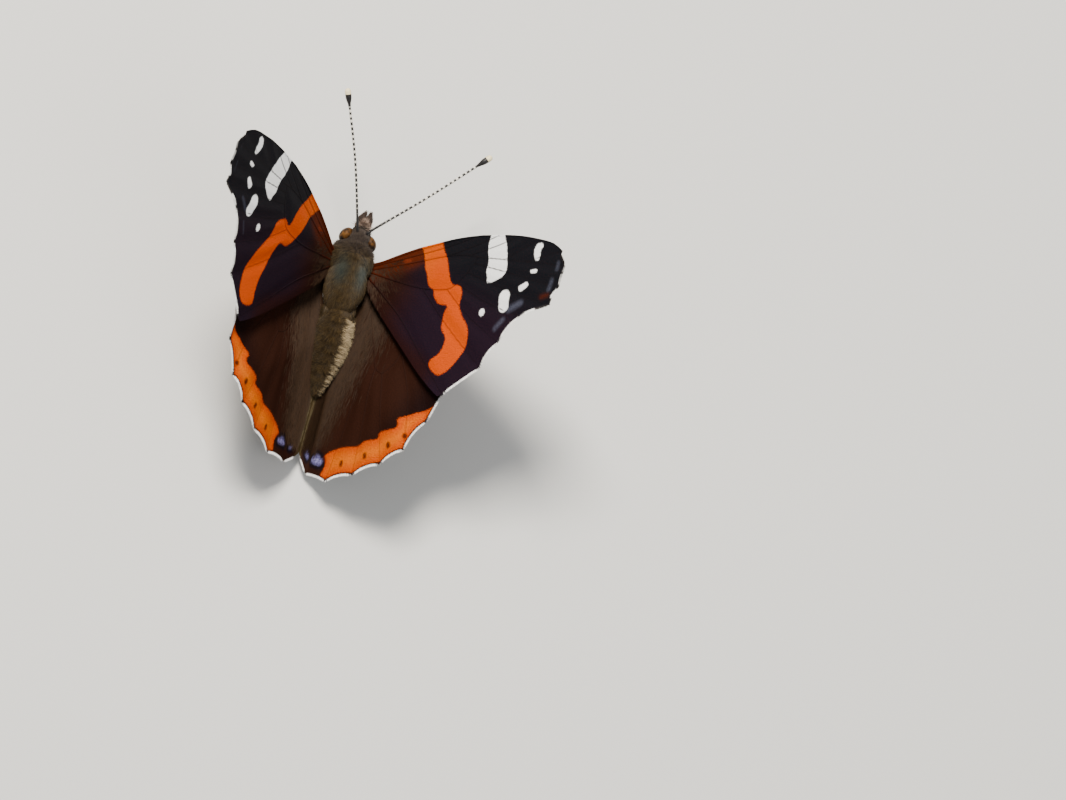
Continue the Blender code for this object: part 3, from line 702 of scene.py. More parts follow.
def dusted(tree, colour, scale, name, tint, strength, least=0.0):
    """Single pale scales scattered over a marked patch; least is how much the others are tinted."""
    depth = node(tree, "Attribute", {"attribute_name": name}).outputs["Fac"]
    edge = node(tree, "MapRange", {}, {"Value": depth, "From Min": -0.25, "From Max": 0.3, "To Max": strength})
    luck = node(tree, "SeparateXYZ", {}, {0: scale.outputs["Color"]})
    chosen = node(tree, "MapRange", {}, {"Value": luck.outputs[0], "From Min": 0.35, "From Max": 0.75,
                                         "To Min": least})
    both = node(tree, "Math", {"operation": "MULTIPLY"}, {0: edge.outputs[0], 1: chosen.outputs[0]})
    return node(tree, "Mix", MIX_COLOURS, {0: both.outputs[0], 6: colour, 7: linear(tint)}).outputs[2]


def fore_upper():
    """Black wing scales with a scarlet-orange band and white spots: velvety, with a faint violet sheen painted into the
    colour.
    """
    material, tree, shader = new_material("wing scales, forewing above", **WING_SURFACE)
    place, tone, blotch, scale, ragged = scales(tree)
    along = node(tree, "SeparateXYZ", {}, {0: place})
    turn = node(tree, "MapRange", {}, {"Value": along.outputs[0], "From Min": 6.0, "From Max": 11.0})
    orange = node(tree, "Mix", MIX_COLOURS, {0: turn.outputs[0], 6: linear("#CF5800"), 7: linear("#CC4A00")})
    colour = layered(tree, "#0D1318", ragged, [
        # violet: the painted sheen
        ("violet", "#1E1420", 0.6, 0.8, 0.9),
        ("brown", "#27130D", 0.5, 0.5, 0.85),
        ("hind_brown", "#25110E", 0.5, 0.5, 0.8),
        ("costa_glow", "#56200A", 0.5, 0.8, 0.9),
        ("smudge", "#7A3018", 0.25, 1.0, 0.7),
        ("band", orange.outputs[2], 0.1, 0.8, 1.0),
        ("white", "#FFFEFB", 0.07, 0.45, 1.0),
        ("vein", "#120C0C", 0.05, 0.1, 0.4),
        ("split", "#1A1616", 0.04, 0.05, 0.8),
    ])
    colour = dusted(tree, colour, scale, "dust", "#80849A", 0.3, 0.6)
    finish_wing_material(tree, shader, colour, tone, scale, 1.25)
    return material


def hind_upper():
    """Chocolate wing scales with an orange margin, black dots and violet spots at the hind corner."""
    material, tree, shader = new_material("wing scales, hindwing above", **WING_SURFACE)
    place, tone, blotch, scale, ragged = scales(tree)
    depth = node(tree, "Attribute", {"attribute_name": "orange"}).outputs["Fac"]
    patchy = node(tree, "Math", {"operation": "MULTIPLY_ADD"}, {0: ragged, 1: 2.5, 2: depth})
    inner = node(tree, "MapRange", {}, {"Value": patchy.outputs[0], "From Min": 0.1, "From Max": 1.3})
    orange = node(tree, "Mix", MIX_COLOURS, {0: inner.outputs[0], 6: linear("#B64000"), 7: linear("#CA6000")})
    colour = layered(tree, "#170B0A", ragged, [
        ("brown", "#2E180F", 0.5, 0.6, 0.8),
        ("olive", "#35251A", 0.5, 0.6, 0.8),
        ("crest", "#453A24", 0.4, 0.8, 0.8),
        ("orange", orange.outputs[2], 0.12, 0.9, 1.0),
        ("dots", "#34100A", 0.12, 0.9, 0.9),
        ("violet_ring", "#120E14", 0.2, 0.8, 0.9),
        ("violet", "#4C4878", 0.16, 1.5, 0.8),
        ("vein", "#1C110E", 0.05, 0.1, 0.3),
    ])
    colour = dusted(tree, colour, scale, "violet", "#A7A2D6", 0.8)
    finish_wing_material(tree, shader, colour, tone, scale)
    return material


def fore_under():
    """The forewing's paler underside: black, with the band and spots, and a brown marbled tip."""
    material, tree, shader = new_material("wing scales, forewing below", **WING_SURFACE)
    place, tone, blotch, scale, ragged = scales(tree)
    marble = node(tree, "MapRange", {}, {"Value": blotch, "From Min": 0.4, "From Max": 0.62})
    tip = node(tree, "Mix", MIX_COLOURS, {0: marble.outputs[0], 6: linear("#4A3526"), 7: linear("#8C7860")})
    colour = layered(tree, "#1C1718", ragged, [
        ("brown", "#4A352A", 0.5, 0.6, 0.8),
        ("dust", tip.outputs[2], 0.5, 1.5, 1.0),
        ("violet", "#35507C", 0.4, 1.5, 0.22),
        ("band", "#DA5A3A", 0.12, 0.6, 1.0),
        ("white", "#E9E2D6", 0.1, 0.4, 1.0),
        ("vein", "#6A5240", 0.06, 0.1, 0.6),
    ])
    finish_wing_material(tree, shader, colour, tone, scale)
    return material


def hind_under():
    """The hindwing's camouflaged underside: marbled bark browns, dark rings and a cream patch."""
    material, tree, shader = new_material("wing scales, hindwing below", **WING_SURFACE)
    place, tone, blotch, scale, ragged = scales(tree)
    warp = node(tree, "TexNoise", {}, {"Vector": place, "Scale": 0.35, "Detail": 5.0, "Distortion": 1.6})
    marble = node(tree, "MapRange", {}, {"Value": warp.outputs["Fac"], "From Min": 0.35, "From Max": 0.65})
    ground = node(tree, "Mix", MIX_COLOURS, {0: marble.outputs[0], 6: linear("#2A1D17"), 7: linear("#7A6450")})
    lines = node(tree, "TexWave", {"bands_direction": "DIAGONAL"},
                 {"Vector": place, "Scale": 0.16, "Distortion": 9.0, "Detail": 3.0})
    streak = node(tree, "MapRange", {}, {"Value": lines.outputs["Fac"], "From Min": 0.75, "From Max": 0.95,
                                         "To Max": 0.7})
    streaked = node(tree, "Mix", MIX_COLOURS, {0: streak.outputs[0], 6: ground.outputs[2], 7: linear("#1B1313")})
    colour = layered(tree, streaked.outputs[2], ragged, [
        ("eyespots", "#231A22", 0.3, 0.8, 0.75),
        ("dots", "#6C6480", 0.15, 0.5, 0.8),
        ("cream", "#C9B79A", 0.4, 1.5, 0.8),
        ("vein", "#8A745C", 0.06, 0.1, 0.5),
    ])
    finish_wing_material(tree, shader, colour, tone, scale)
    return material


def hair_material(name, dark, light, tips, pale="#5C523A", roughness=0.7):
    """Fine scale-hairs: each has its own tone, and pales towards the tip and where it is marked pale."""
    material, tree, shader = new_material(name, roughness=roughness, specular_ior_level=0.12)
    luck = node(tree, "Attribute", {"attribute_name": "luck"}).outputs["Fac"]
    tip = node(tree, "Attribute", {"attribute_name": "tip"}).outputs["Fac"]
    body = node(tree, "Mix", MIX_COLOURS, {0: luck, 6: linear(dark), 7: linear(light)})
    far = node(tree, "MapRange", {}, {"Value": tip, "From Min": 0.3, "From Max": 1.0, "To Max": 0.7})
    toned = node(tree, "Mix", MIX_COLOURS, {0: far.outputs[0], 6: body.outputs[2], 7: linear(tips)})
    where = node(tree, "Attribute", {"attribute_name": "pale"}).outputs["Fac"]
    colour = node(tree, "Mix", MIX_COLOURS, {0: where, 6: toned.outputs[2], 7: linear(pale)})
    tree.links.new(colour.outputs[2], shader.inputs["Base Color"])
    return material


def fringe_material():
    """Fringe scales: white in the bays between the veins, dark brown at the veins."""
    material, tree, shader = new_material("fringe scales", roughness=0.7, specular_ior_level=0.25)
    pale = node(tree, "Attribute", {"attribute_name": "pale"}).outputs["Fac"]
    luck = node(tree, "Attribute", {"attribute_name": "luck"}).outputs["Fac"]
    white = node(tree, "Mix", MIX_COLOURS, {0: luck, 6: linear("#E8E4DC"), 7: linear("#FFFEFC")})
    colour = node(tree, "Mix", MIX_COLOURS, {0: pale, 6: linear("#1A1412"), 7: white.outputs[2]})
    tree.links.new(colour.outputs[2], shader.inputs["Base Color"])
    return material


def wing_fringe(plan, outer, kind):
    """Flat fringe scales along the outer margin, as tufts that leave it outwards."""
    ends = np.array(plan["vein_ends"], float)
    roots, ways, pale, full = [], [], [], []
    run = np.concatenate([[0], np.cumsum(np.linalg.norm(np.diff(outer, axis=0), axis=1))])
    places = np.arange(0.05, run[-1], 0.055)
    for layer in range(2):
        at = places + RNG.uniform(-0.02, 0.02, len(places))
        spot = np.stack([np.interp(at, run, outer[:, k]) for k in (0, 1)], 1)
        along = np.stack([np.interp(at, run, unit(np.gradient(outer, axis=0))[:, k]) for k in (0, 1)], 1)
        outward = np.stack([-along[:, 1], along[:, 0]], 1)
        from_vein = np.min(np.linalg.norm(spot[:, None] - ends[None], axis=2), axis=1)
        bay = ease(0.35, 0.75, from_vein + RNG.normal(0, 0.16, len(at)))
        tip = (kind == "fore") * ease(5.6, 6.0, spot[:, 1])
        white = bay * (1.0 - tip) + ease(-0.1, 0.1, in_spots(spot, FLECKS)) * tip
        roots.append(spot - outward * 0.08)
        ways.append(outward + along * RNG.normal(0, 0.16, len(at))[:, None])
        pale.append(white * (1.0 if layer else 0.85))
        full.append(bay)
    roots, ways, pale, full = np.vstack(roots), unit(np.vstack(ways)), np.concatenate(pale), np.concatenate(full)
    count = len(roots)
    level = np.zeros(count)
    heights = np.repeat((-0.02, 0.03), count // 2)
    length = (FRINGE + 0.1) * RNG.uniform(0.75, 1.0, count) * (0.45 + 0.55 * full)
    up = np.tile((0.0, 0.0, 1.0), (count, 1))
    piece = tufts("fringe", np.column_stack([roots, heights]), up, np.column_stack([ways, level]), length,
                  np.full(count, 0.1), 0.05, (roots + (2.5, 23.0)) / 40.0)
    mark(piece, pale=np.repeat(pale, 7))
    return piece


def wing_hair(kind, count):
    """Long hairs over the wing's root and, on the hindwing, along the inner margin, lying outwards."""
    if kind == "fore":
        p, q = RNG.uniform(0.0, 6.5, count), RNG.uniform(-4.5, 2.5, count)
        thick = 1.0 - ease(0.5, 6.0, p)
        way = np.stack([p + 1.5, q - 1.5], 1)
        lengths = RNG.uniform(0.5, 1.0, count)
    else:
        p, q = RNG.uniform(-1.8, 8.0, count), RNG.uniform(-19.0, 0.5, count)
        thick = (1.0 - ease(0.3, 8.0, p + 0.25 * np.maximum(-q - 9.0, 0.0))) ** 2.0
        crest = inner_crest(np.stack([p, q], 1)) + 0.5
        way = np.stack([p * 0.35 + 0.4 + 30.0 * crest, q - 3.0], 1)
        lengths = RNG.uniform(0.8, 1.6, count) * (1.0 - 0.5 * crest)
    flat = np.stack([p, q], 1)
    keep = (RNG.random(count) < thick) & (within(flat, OUTLINES[kind]) > 0.25)
    flat, lengths = flat[keep], lengths[keep]
    way = unit(unit(way[keep]) + RNG.normal(0, 0.1, flat.shape))
    count = len(flat)
    up = np.tile((0.0, 0.0, 1.0), (count, 1))
    hair = tufts("hair", np.column_stack([flat, np.full(count, 0.05)]), up, np.column_stack([way, np.zeros(count)]),
                 lengths, np.full(count, 0.042), 0.1, (flat + (3.0, 23.0)) / 40.0, 1.0)
    mark(hair, pale=np.repeat(inner_crest(flat) + 0.5, 7) if kind == "hind" else np.zeros(count * 7))
    return hair


OUTLINES = {}
for kind, plan in (("fore", FORE), ("hind", HIND)):
    OUTLINES[kind] = np.vstack(wing_margin(plan, FRINGE))

UPPER = {"fore": fore_upper(), "hind": hind_upper()}
UNDER = {"fore": fore_under(), "hind": hind_under()}
FRINGE_SCALES = fringe_material()
ROOT_HAIR = hair_material("wing root hair", "#20140B", "#352314", "#362617")

for word, side in SIDES.items():
    angles = RAISED_PITCHED_SWEPT[word]
    fore_sheet = ForeSheet(FORE_ROOT, angles["fore"])
    for kind, plan, sheet in (("fore", FORE, fore_sheet), ("hind", HIND, HindSheet(HIND_ROOT, angles["hind"], fore_sheet))):
        front, outer, back = wing_margin(plan, FRINGE)
        veins = [smooth_line(v, 0.6) for v in plan["veins"]]
        label = f"{kind}wing_{word}"
        parts = {
            "membrane": (flat_membrane(np.vstack([front, outer, back])), [UPPER[kind], UNDER[kind]]),
            "veins": (flat_veins(front, veins, OUTLINES[kind]), [UPPER[kind], UNDER[kind]]),
            "fringe": (wing_fringe(plan, outer, kind), [FRINGE_SCALES]),
            "hair": (wing_hair(kind, 3000 if kind == "fore" else 30000), [ROOT_HAIR]),
        }
        for part, (piece, materials) in parts.items():
            if part in ("membrane", "veins"):
                mark_wing(piece, kind, word, front, outer, veins)
            bend(piece, sheet, side, NESTLE[kind], veins)
            finish_piece(piece, f"{label}_{part}", materials,
                         [label] if part == "membrane" else ())


# Body: one skin under the coat for thorax, neck, head and abdomen

COAT = 0.3                            # how deep the skin lies under the solids' surface
SEGMENTS = 8
BELLY_RINGS = ((0.0, -0.1), (0.25, -0.01), (0.85, 0.03), (0.97, -0.06))   # place in a segment, swelling


def lump(centre, half):
    """A ball stretched to its half sizes, as one more lump of the body."""
    bpy.ops.object.select_all(action="DESELECT")
    bpy.ops.mesh.primitive_uv_sphere_add(segments=48, ring_count=32, radius=1.0, location=centre, scale=half)
    bpy.ops.object.transform_apply(location=True, rotation=True, scale=True)
    return bpy.context.object


def ringed_belly():
    """A disc drawn back ring by ring, swelling to each segment's hind edge and nipped after it."""
    stops = [(BELLY_FRONT - BELLY_LENGTH * (k + part) / SEGMENTS, float(swell))
             for k in range(SEGMENTS) for part, swell in BELLY_RINGS]
    at = Vector((0.0, BELLY_FRONT + 0.8, float(belly_height(BELLY_FRONT + 0.8))))
    radius = 1.0
    bpy.ops.object.select_all(action="DESELECT")
    bpy.ops.mesh.primitive_circle_add(vertices=48, radius=radius, fill_type="NGON", location=at,
                                      rotation=(pi / 2, 0, 0))
    bpy.ops.object.transform_apply(location=True, rotation=True, scale=True)
    bpy.ops.object.mode_set(mode="EDIT")
    bpy.ops.mesh.select_all(action="SELECT")
    for y, swell in stops:
        new = max(float(belly_radius(y)) - COAT + swell, 0.15)
        place = Vector((0.0, y, float(belly_height(y))))
        bpy.ops.mesh.extrude_region_move(TRANSFORM_OT_translate={"value": place - at})
        bpy.ops.transform.resize(value=(new / radius, 1.0, new / radius), center_override=place)
        radius, at = new, place
    bpy.ops.mesh.select_all(action="SELECT")
    bpy.ops.mesh.normals_make_consistent(inside=False)
    bpy.ops.object.mode_set(mode="OBJECT")
    return bpy.context.object


def body_skin():
    lumps = [lump((-0.15, 1.9, -0.6), (2.1, 3.9, 2.0)), lump((-0.25, 4.1, -0.55), (2.0, 2.1, 1.6)),
             lump((-0.25, 5.7, -0.35), (1.9, 1.1, 1.3)), lump((-0.2, 6.75, -0.2), (1.45, 1.1, 1.15)),
             lump((0, 7.75, -0.55), (0.9, 0.6, 0.75)), lump((0, -1.6, -0.75), (1.3, 1.2, 1.25)), ringed_belly(),
             lump((-1.7, 4.6, -0.3), (0.75, 1.5, 0.9)), lump((1.25, 4.2, -0.3), (0.65, 1.5, 0.9))]
    for side in SIDES.values():
        lumps += [lump((side * 1.4, 1.6, -0.5), (0.6, 1.7, 0.9)),
                  lump((side * 1.1, -0.5, -0.9), (0.6, 1.9, 0.8)), lump((side * 0.95, 1.2, -2.3), (0.55, 0.8, 0.6)),
                  lump((side * 0.85, -0.5, -2.0), (0.5, 0.75, 0.6)), lump((side * 0.65, 3.9, -2.3), (0.4, 0.6, 0.5))]
    skin = join("body_skin", lumps)
    skin.data.remesh_voxel_size = 0.1
    bpy.ops.object.voxel_remesh()
    apply(skin, "SMOOTH", factor=0.5, iterations=16)
    bpy.ops.object.shade_smooth()
    return skin


def around(points):
    """Places on an unwrap of the body: round its axis, and along it from tail to head."""
    x, y, z = np.asarray(points).T
    return np.stack([np.arctan2(x, z + 0.75) / (2 * pi) * 0.96 + 0.5, (y + 12.5) / 24.0], 1)


def body_marks(points):
    """Where the coat changes colour, for points on the body."""
    x, y, z = np.asarray(points).T
    belly = 1.0 - ease(-3.1, -1.4, y)
    back = np.clip((BELLY_FRONT - y) / BELLY_LENGTH, 0.0, 1.0)
    # Painted sunlight: the abdomen's tan hair is painted paler on its right upper flank only, and the left flank gets
    # no such strip
    sunlit_flank = ease(0.03, 0.33, x / belly_radius(y)) * ease(-2.2, -1.4, z) * (1.0 - 0.33 * back)
    clumps = (0.42 + 0.25 * ease(-6.0, -3.0, y)) * (1.0 - np.cos(2 * pi * y / 0.42 + 1.5 * np.sin(2.3 * y)))
    bands = 0.5 + 0.5 * np.cos(2 * pi * (BELLY_FRONT - y) / BELLY_LENGTH * SEGMENTS)
    # muzzle: a painted highlight, a pale patch on the front of the palps
    muzzle = np.exp(-((x - 0.05) / 0.55) ** 2 - ((y - 8.6) / 0.65) ** 2)
    # A painted sheen: blue-green patches either side of the midline, on the top of the thorax only
    thorax_sheen = np.exp(-((abs(x) - 0.95) / 0.7) ** 2 - ((y - 3.2) / 1.7) ** 2) * ease(-0.2, 0.8, z)
    return {"pale": 1.6 * sunlit_flank * belly - 0.9 - clumps, "palp": ease(7.9, 8.6, y) - 0.5, "muzzle": muzzle - 0.52,
            "thorax_sheen": thorax_sheen - 0.45, "under": 0.5 - ease(-2.2, -1.2, z), "ring": bands * belly - 0.5,
            "face": ease(4.6, 6.2, y) - 0.5}


def scatter(piece, count):
    """Seeded places, even over a mesh's area, with the surface's way out."""
    mesh = piece.data
    mesh.calc_loop_triangles()
    corners = np.empty(len(mesh.loop_triangles) * 3, np.int32)
    mesh.loop_triangles.foreach_get("vertices", corners)
    normals = np.empty(len(mesh.vertices) * 3)
    mesh.vertices.foreach_get("normal", normals)
    points, normals, tris = points_of(piece), normals.reshape(-1, 3), corners.reshape(-1, 3)
    a, b, c = (points[tris[:, k]] for k in range(3))
    area = np.linalg.norm(np.cross(b - a, c - a), axis=1)
    chosen = tris[RNG.choice(len(tris), count, p=area / area.sum())]
    share = RNG.dirichlet((1.0, 1.0, 1.0), count)[:, :, None]
    return (points[chosen] * share).sum(axis=1), unit((normals[chosen] * share).sum(axis=1))


def coat(name, roots, ups, comb, lengths, width, rise, bend=0.6, mess=0.22):
    """A piece of coat combed one way, with the skin's own markings at each tuft's root."""
    count = len(roots)
    ways = comb + RNG.normal(0, mess, roots.shape)
    ways = unit(ways - ups * np.sum(ways * ups, axis=1)[:, None])
    piece = tufts(name, roots - ups * 0.03, ups, ways, lengths * RNG.uniform(0.7, 1.15, count),
                  np.broadcast_to(width, (count,)), rise, around(roots), bend)
    mark(piece, **{key: np.repeat(value, 7) for key, value in body_marks(roots).items()})
    move_points(piece, standing(points_of(piece)))
    return piece


def body_colours(tree, ground):
    """The body's markings, shared by its skin and its coat."""
    place = node(tree, "TexCoord").outputs["Object"]
    noise = node(tree, "TexNoise", {}, {"Vector": place, "Scale": 1600.0, "Detail": 3.0})
    ragged = node(tree, "Math", {"operation": "SUBTRACT"}, {0: noise.outputs["Fac"], 1: 0.5})
    return layered(tree, ground, ragged.outputs[0], [
        ("ring", "#1C120B", 0.5, 0.4, 0.35),
        # painted sheen on the top of the thorax
        ("thorax_sheen", "#2E3F3F", 0.7, 0.5, 0.6),
        ("face", "#3D3633", 0.6, 0.5, 0.75),
        ("palp", "#4E413A", 0.5, 0.8, 0.85),
        ("under", "#564A38", 0.5, 0.5, 0.7),
        # pale: the abdomen's tan hair, lightened on its right flank by painted sunlight
        ("pale", "#AC9876", 0.4, 0.6, 0.95),
        # muzzle: painted highlight on the palps
        ("muzzle", "#B49C8A", 0.3, 0.6, 0.85),
    ])


def skin_material():
    """Dark chitin felted with short scales, which shows only between the hairs."""
    material, tree, shader = new_material("body chitin with short scales", roughness=0.75, specular_ior_level=0.25)
    colour = body_colours(tree, "#2A1F14")
    dark = node(tree, "Mix", MULTIPLY_COLOURS, {0: 1.0, 6: colour, 7: linear("#A09488")})
    tree.links.new(dark.outputs[2], shader.inputs["Base Color"])
    place = node(tree, "TexCoord").outputs["Object"]
    felt = node(tree, "TexNoise", {}, {"Vector": place, "Scale": 9000.0, "Detail": 2.0})
    bump = node(tree, "Bump", {}, {"Strength": 0.5, "Distance": 0.00004, "Height": felt.outputs["Fac"]})
    tree.links.new(bump.outputs[0], shader.inputs["Normal"])
    return material


def coat_material():
    """Long scale-hairs in olive and grey browns, darkened at the root and lightened towards their tips as a painted
    sheen.
    """
    material, tree, shader = new_material("body scale-hairs", roughness=0.6, specular_ior_level=0.15)
    luck = node(tree, "Attribute", {"attribute_name": "luck"}).outputs["Fac"]
    tip = node(tree, "Attribute", {"attribute_name": "tip"}).outputs["Fac"]
    base = node(tree, "Mix", MIX_COLOURS, {0: luck, 6: linear("#2A1E10"), 7: linear("#4D3C22")})
    colour = body_colours(tree, base.outputs[2])
    # Painted sheen: each hair's colour is darkened at its root and lightened towards its tip
    light = node(tree, "MapRange", {}, {"Value": tip, "To Min": 0.6, "To Max": 1.35})
    fair = node(tree, "MapRange", {}, {"Value": luck, "To Min": 0.6, "To Max": 1.35})
    both = node(tree, "Math", {"operation": "MULTIPLY"}, {0: light.outputs[0], 1: fair.outputs[0]})
    toned = node(tree, "Mix", MULTIPLY_COLOURS, {0: 1.0, 6: colour, 7: both.outputs[0]})
    tree.links.new(toned.outputs[2], shader.inputs["Base Color"])
    return material


def stacked(*parts):
    return np.stack(np.broadcast_arrays(*parts), 1)


EYE_CENTRES = {"right": (1.28, 6.72, -0.25), "left": (-1.64, 6.93, -0.05)}   # the head leans a little to the left
EYE_HALF = (0.66, 0.92, 0.98)
EYE_TURN = radians(31.0)              # the long way of each eye runs forward and in


def from_eye(points, word):
    """Distance from an eye's middle, with 1 on its surface."""
    x, y, z = (points - EYE_CENTRES[word]).T
    side = SIDES[word]
    across, along = x * cos(EYE_TURN) + side * y * sin(EYE_TURN), y * cos(EYE_TURN) - side * x * sin(EYE_TURN)
    return np.linalg.norm(np.stack([across, along, z], 1) / EYE_HALF, axis=1)


BODY_HAIR = coat_material()
BODY_SKIN = skin_material()


def make_body():
    skin = body_skin()
    spots, ups = scatter(skin, 76000)
    x, y, z = spots.T
    to_eye = np.min([from_eye(spots, word) for word in SIDES], axis=0)
    brow = np.exp(-((to_eye - 1.0) / 0.3) ** 2)
    collar = np.exp(-((y - 5.2) / 1.0) ** 2)
    ahead = ease(4.4, 6.8, y)             # the coat lies back over the thorax and forward over the face
    tail = ease(-1.0, -3.0, y)
    # The hair in the strip of painted sunlight is also combed out, raised and widened
    sunlit_strip = ease(-0.7, 0.2, body_marks(spots)["pale"])
    aside = np.clip(x / 0.6, -1.0, 1.0)
    comb = stacked(x * (0.35 + 0.6 * tail + 0.5 * collar) + (0.9 * brow + 0.4 * tail) * aside + 0.8 * sunlit_strip,
                   -1.0 + 2.0 * ahead + 0.6 * tail - brow + 0.2 * sunlit_strip,
                   0.25 * z + 0.4 * ahead + 0.7 * tail * (z + 0.9))
    beak = ease(7.6, 8.1, y) * (1.0 - ease(0.3, 0.5, abs(x)))
    lengths = 0.95 - 0.4 * ahead + 0.9 * beak + 0.3 * brow + 0.3 * tail - 0.6 * ease(-5.0, -11.0, y)
    rise = 0.42 + 0.3 * collar + 0.2 * tail + 0.3 * sunlit_strip
    widths = 0.05 + 0.035 * sunlit_strip
    bends = 0.6 - 0.45 * sunlit_strip
    head, belly = y > 5.6, y <= -1.9
    regions = {"coat_head": head & (to_eye > 1.0)}
    for word, here in (("left", x < 0), ("right", x >= 0)):
        regions["coat_thorax_" + word] = ~head & ~belly & here
        regions["coat_abdomen_" + word] = belly & here
    mark(skin, **body_marks(points_of(skin)))
    lay_out(skin, "OFBake", around(points_of(skin)))
    move_points(skin, standing(points_of(skin)))
    finish_piece(skin, "body_skin", [BODY_SKIN], ["thorax", "head", "abdomen"])
    for name, inside in regions.items():
        hair = coat(name, spots[inside], ups[inside], comb[inside], lengths[inside], widths[inside], rise[inside],
                    bends[inside, None])
        finish_piece(hair, name, [BODY_HAIR])


make_body()


# Eyes: compound, with facets drawn larger than the real 0.025 mm so that they show

def eye_material():
    """Glossy compound eye in tight rows of facets: orange brown above, darkening to dark red brown below as painted
    shade.
    """
    material, tree, shader = new_material("compound eye", roughness=0.5, specular_ior_level=0.12)
    place = node(tree, "TexCoord").outputs["Object"]
    apart = node(tree, "SeparateXYZ", {}, {0: place})
    low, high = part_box("eye_right")
    # Painted shade: the eye darkens from its top towards its bottom, broken up by the noise
    rise = node(tree, "MapRange", {"interpolation_type": "SMOOTHSTEP"},
                {"Value": apart.outputs[2], "From Min": low.z + 0.0008, "From Max": high.z})
    noise = node(tree, "TexNoise", {}, {"Vector": place, "Scale": 2200.0, "Detail": 3.0})
    mix = node(tree, "Math", {"operation": "MULTIPLY_ADD"}, {0: noise.outputs["Fac"], 1: 2.6, 2: rise.outputs[0]})
    shift = node(tree, "Math", {"operation": "SUBTRACT", "use_clamp": True}, {0: mix.outputs[0], 1: 1.75})
    colour = node(tree, "Mix", MIX_COLOURS, {0: shift.outputs[0], 6: linear("#1C1109"), 7: linear("#694318")})
    tree.links.new(colour.outputs[2], shader.inputs["Base Color"])
    facets = node(tree, "TexVoronoi", {}, {"Vector": place, "Scale": 15000.0, "Randomness": 0.15})
    bump = node(tree, "Bump", {"invert": True}, {"Strength": 0.6, "Distance": 0.00002,
                                                 "Height": facets.outputs["Distance"]})
    tree.links.new(bump.outputs[0], shader.inputs["Normal"])
    return material


EYE = eye_material()
for word, side in SIDES.items():
    bpy.ops.object.select_all(action="DESELECT")
    bpy.ops.mesh.primitive_ico_sphere_add(subdivisions=5, radius=1.0, scale=EYE_HALF,
                                          location=EYE_CENTRES[word], rotation=(0.0, 0.0, side * EYE_TURN))
    bpy.ops.object.transform_apply(location=True, rotation=True, scale=True)
    bpy.ops.object.shade_smooth()
    eye = bpy.context.object
    move_points(eye, standing(points_of(eye)))
    finish_piece(eye, "eye_" + word, [EYE], ["eye_" + word])


# Palps: two upturned hairy horns before the face

PALP_MARKS = {
    "left": ((-0.34, 7.5, -1.0), (-0.38, 8.6, -0.75), (-0.34, 9.3, -0.45), (-0.17, 9.9, -0.2)),
    "right": ((0.4, 7.5, -1.0), (0.42, 8.6, -0.75), (0.44, 9.4, -0.45), (0.43, 9.95, -0.2)),
}

for word in SIDES:
    line = smooth_line(PALP_MARKS[word], 0.2)
    t = np.linspace(0, 1, len(line))
    palp = rod(line, np.interp(t, (0, 0.35, 0.7, 1), (0.32, 0.38, 0.34, 0.08)), 4)
    roots, ups = scatter(palp, 2600)
    onward = unit(np.gradient(line, axis=0))
    nearest = np.argmin(np.linalg.norm(roots[:, None] - line[None], axis=2), axis=1)
    hair = coat("hair", roots, ups, onward[nearest] + (0.0, 0.0, 0.2), 0.45 + 0.1 * t[nearest], 0.045, 0.5,
                0.35, 0.25)
    mark(palp, **body_marks(points_of(palp)))
    lay_out(palp, "OFBake", around(points_of(palp)))
    move_points(palp, standing(points_of(palp)))
    finish_piece(palp, "palp_" + word, [BODY_SKIN], ["palp_" + word])
    finish_piece(hair, f"palp_{word}_hair", [BODY_HAIR])


# Feelers: fine ringed shafts with a club

FEELER_MARKS = {
    "left": ((-0.62, 7.4, 0.55), (-0.85, 8.1, 1.1), (-3.4, 14.6, 3.4), (-6.75, 21.36, 6.3)),
    "right": ((0.62, 7.4, 0.55), (0.9, 8.0, 1.05), (5.7, 13.1, 2.8), (11.2, 19.45, 4.3)),
}
RING = 0.58                           # from one white ring to the next
CLUB_LENGTH, TIP_LENGTH = 2.1, 0.65


def feeler_material():
    """Black scaled chitin, ringed with white scales that grow wider outwards; the club ends in cream."""
    material, tree, shader = new_material("ringed feeler", roughness=0.45, specular_ior_level=0.4)
    ring = node(tree, "Attribute", {"attribute_name": "ring"}).outputs["Fac"]
    cream = node(tree, "Attribute", {"attribute_name": "cream"}).outputs["Fac"]
    ringed = node(tree, "Mix", MIX_COLOURS, {0: ring, 6: linear("#15110F"), 7: linear("#E4DED0")})
    ended = node(tree, "Mix", MIX_COLOURS, {0: cream, 6: ringed.outputs[2], 7: linear("#F2E2B4")})
    tree.links.new(ended.outputs[2], shader.inputs["Base Color"])
    return material


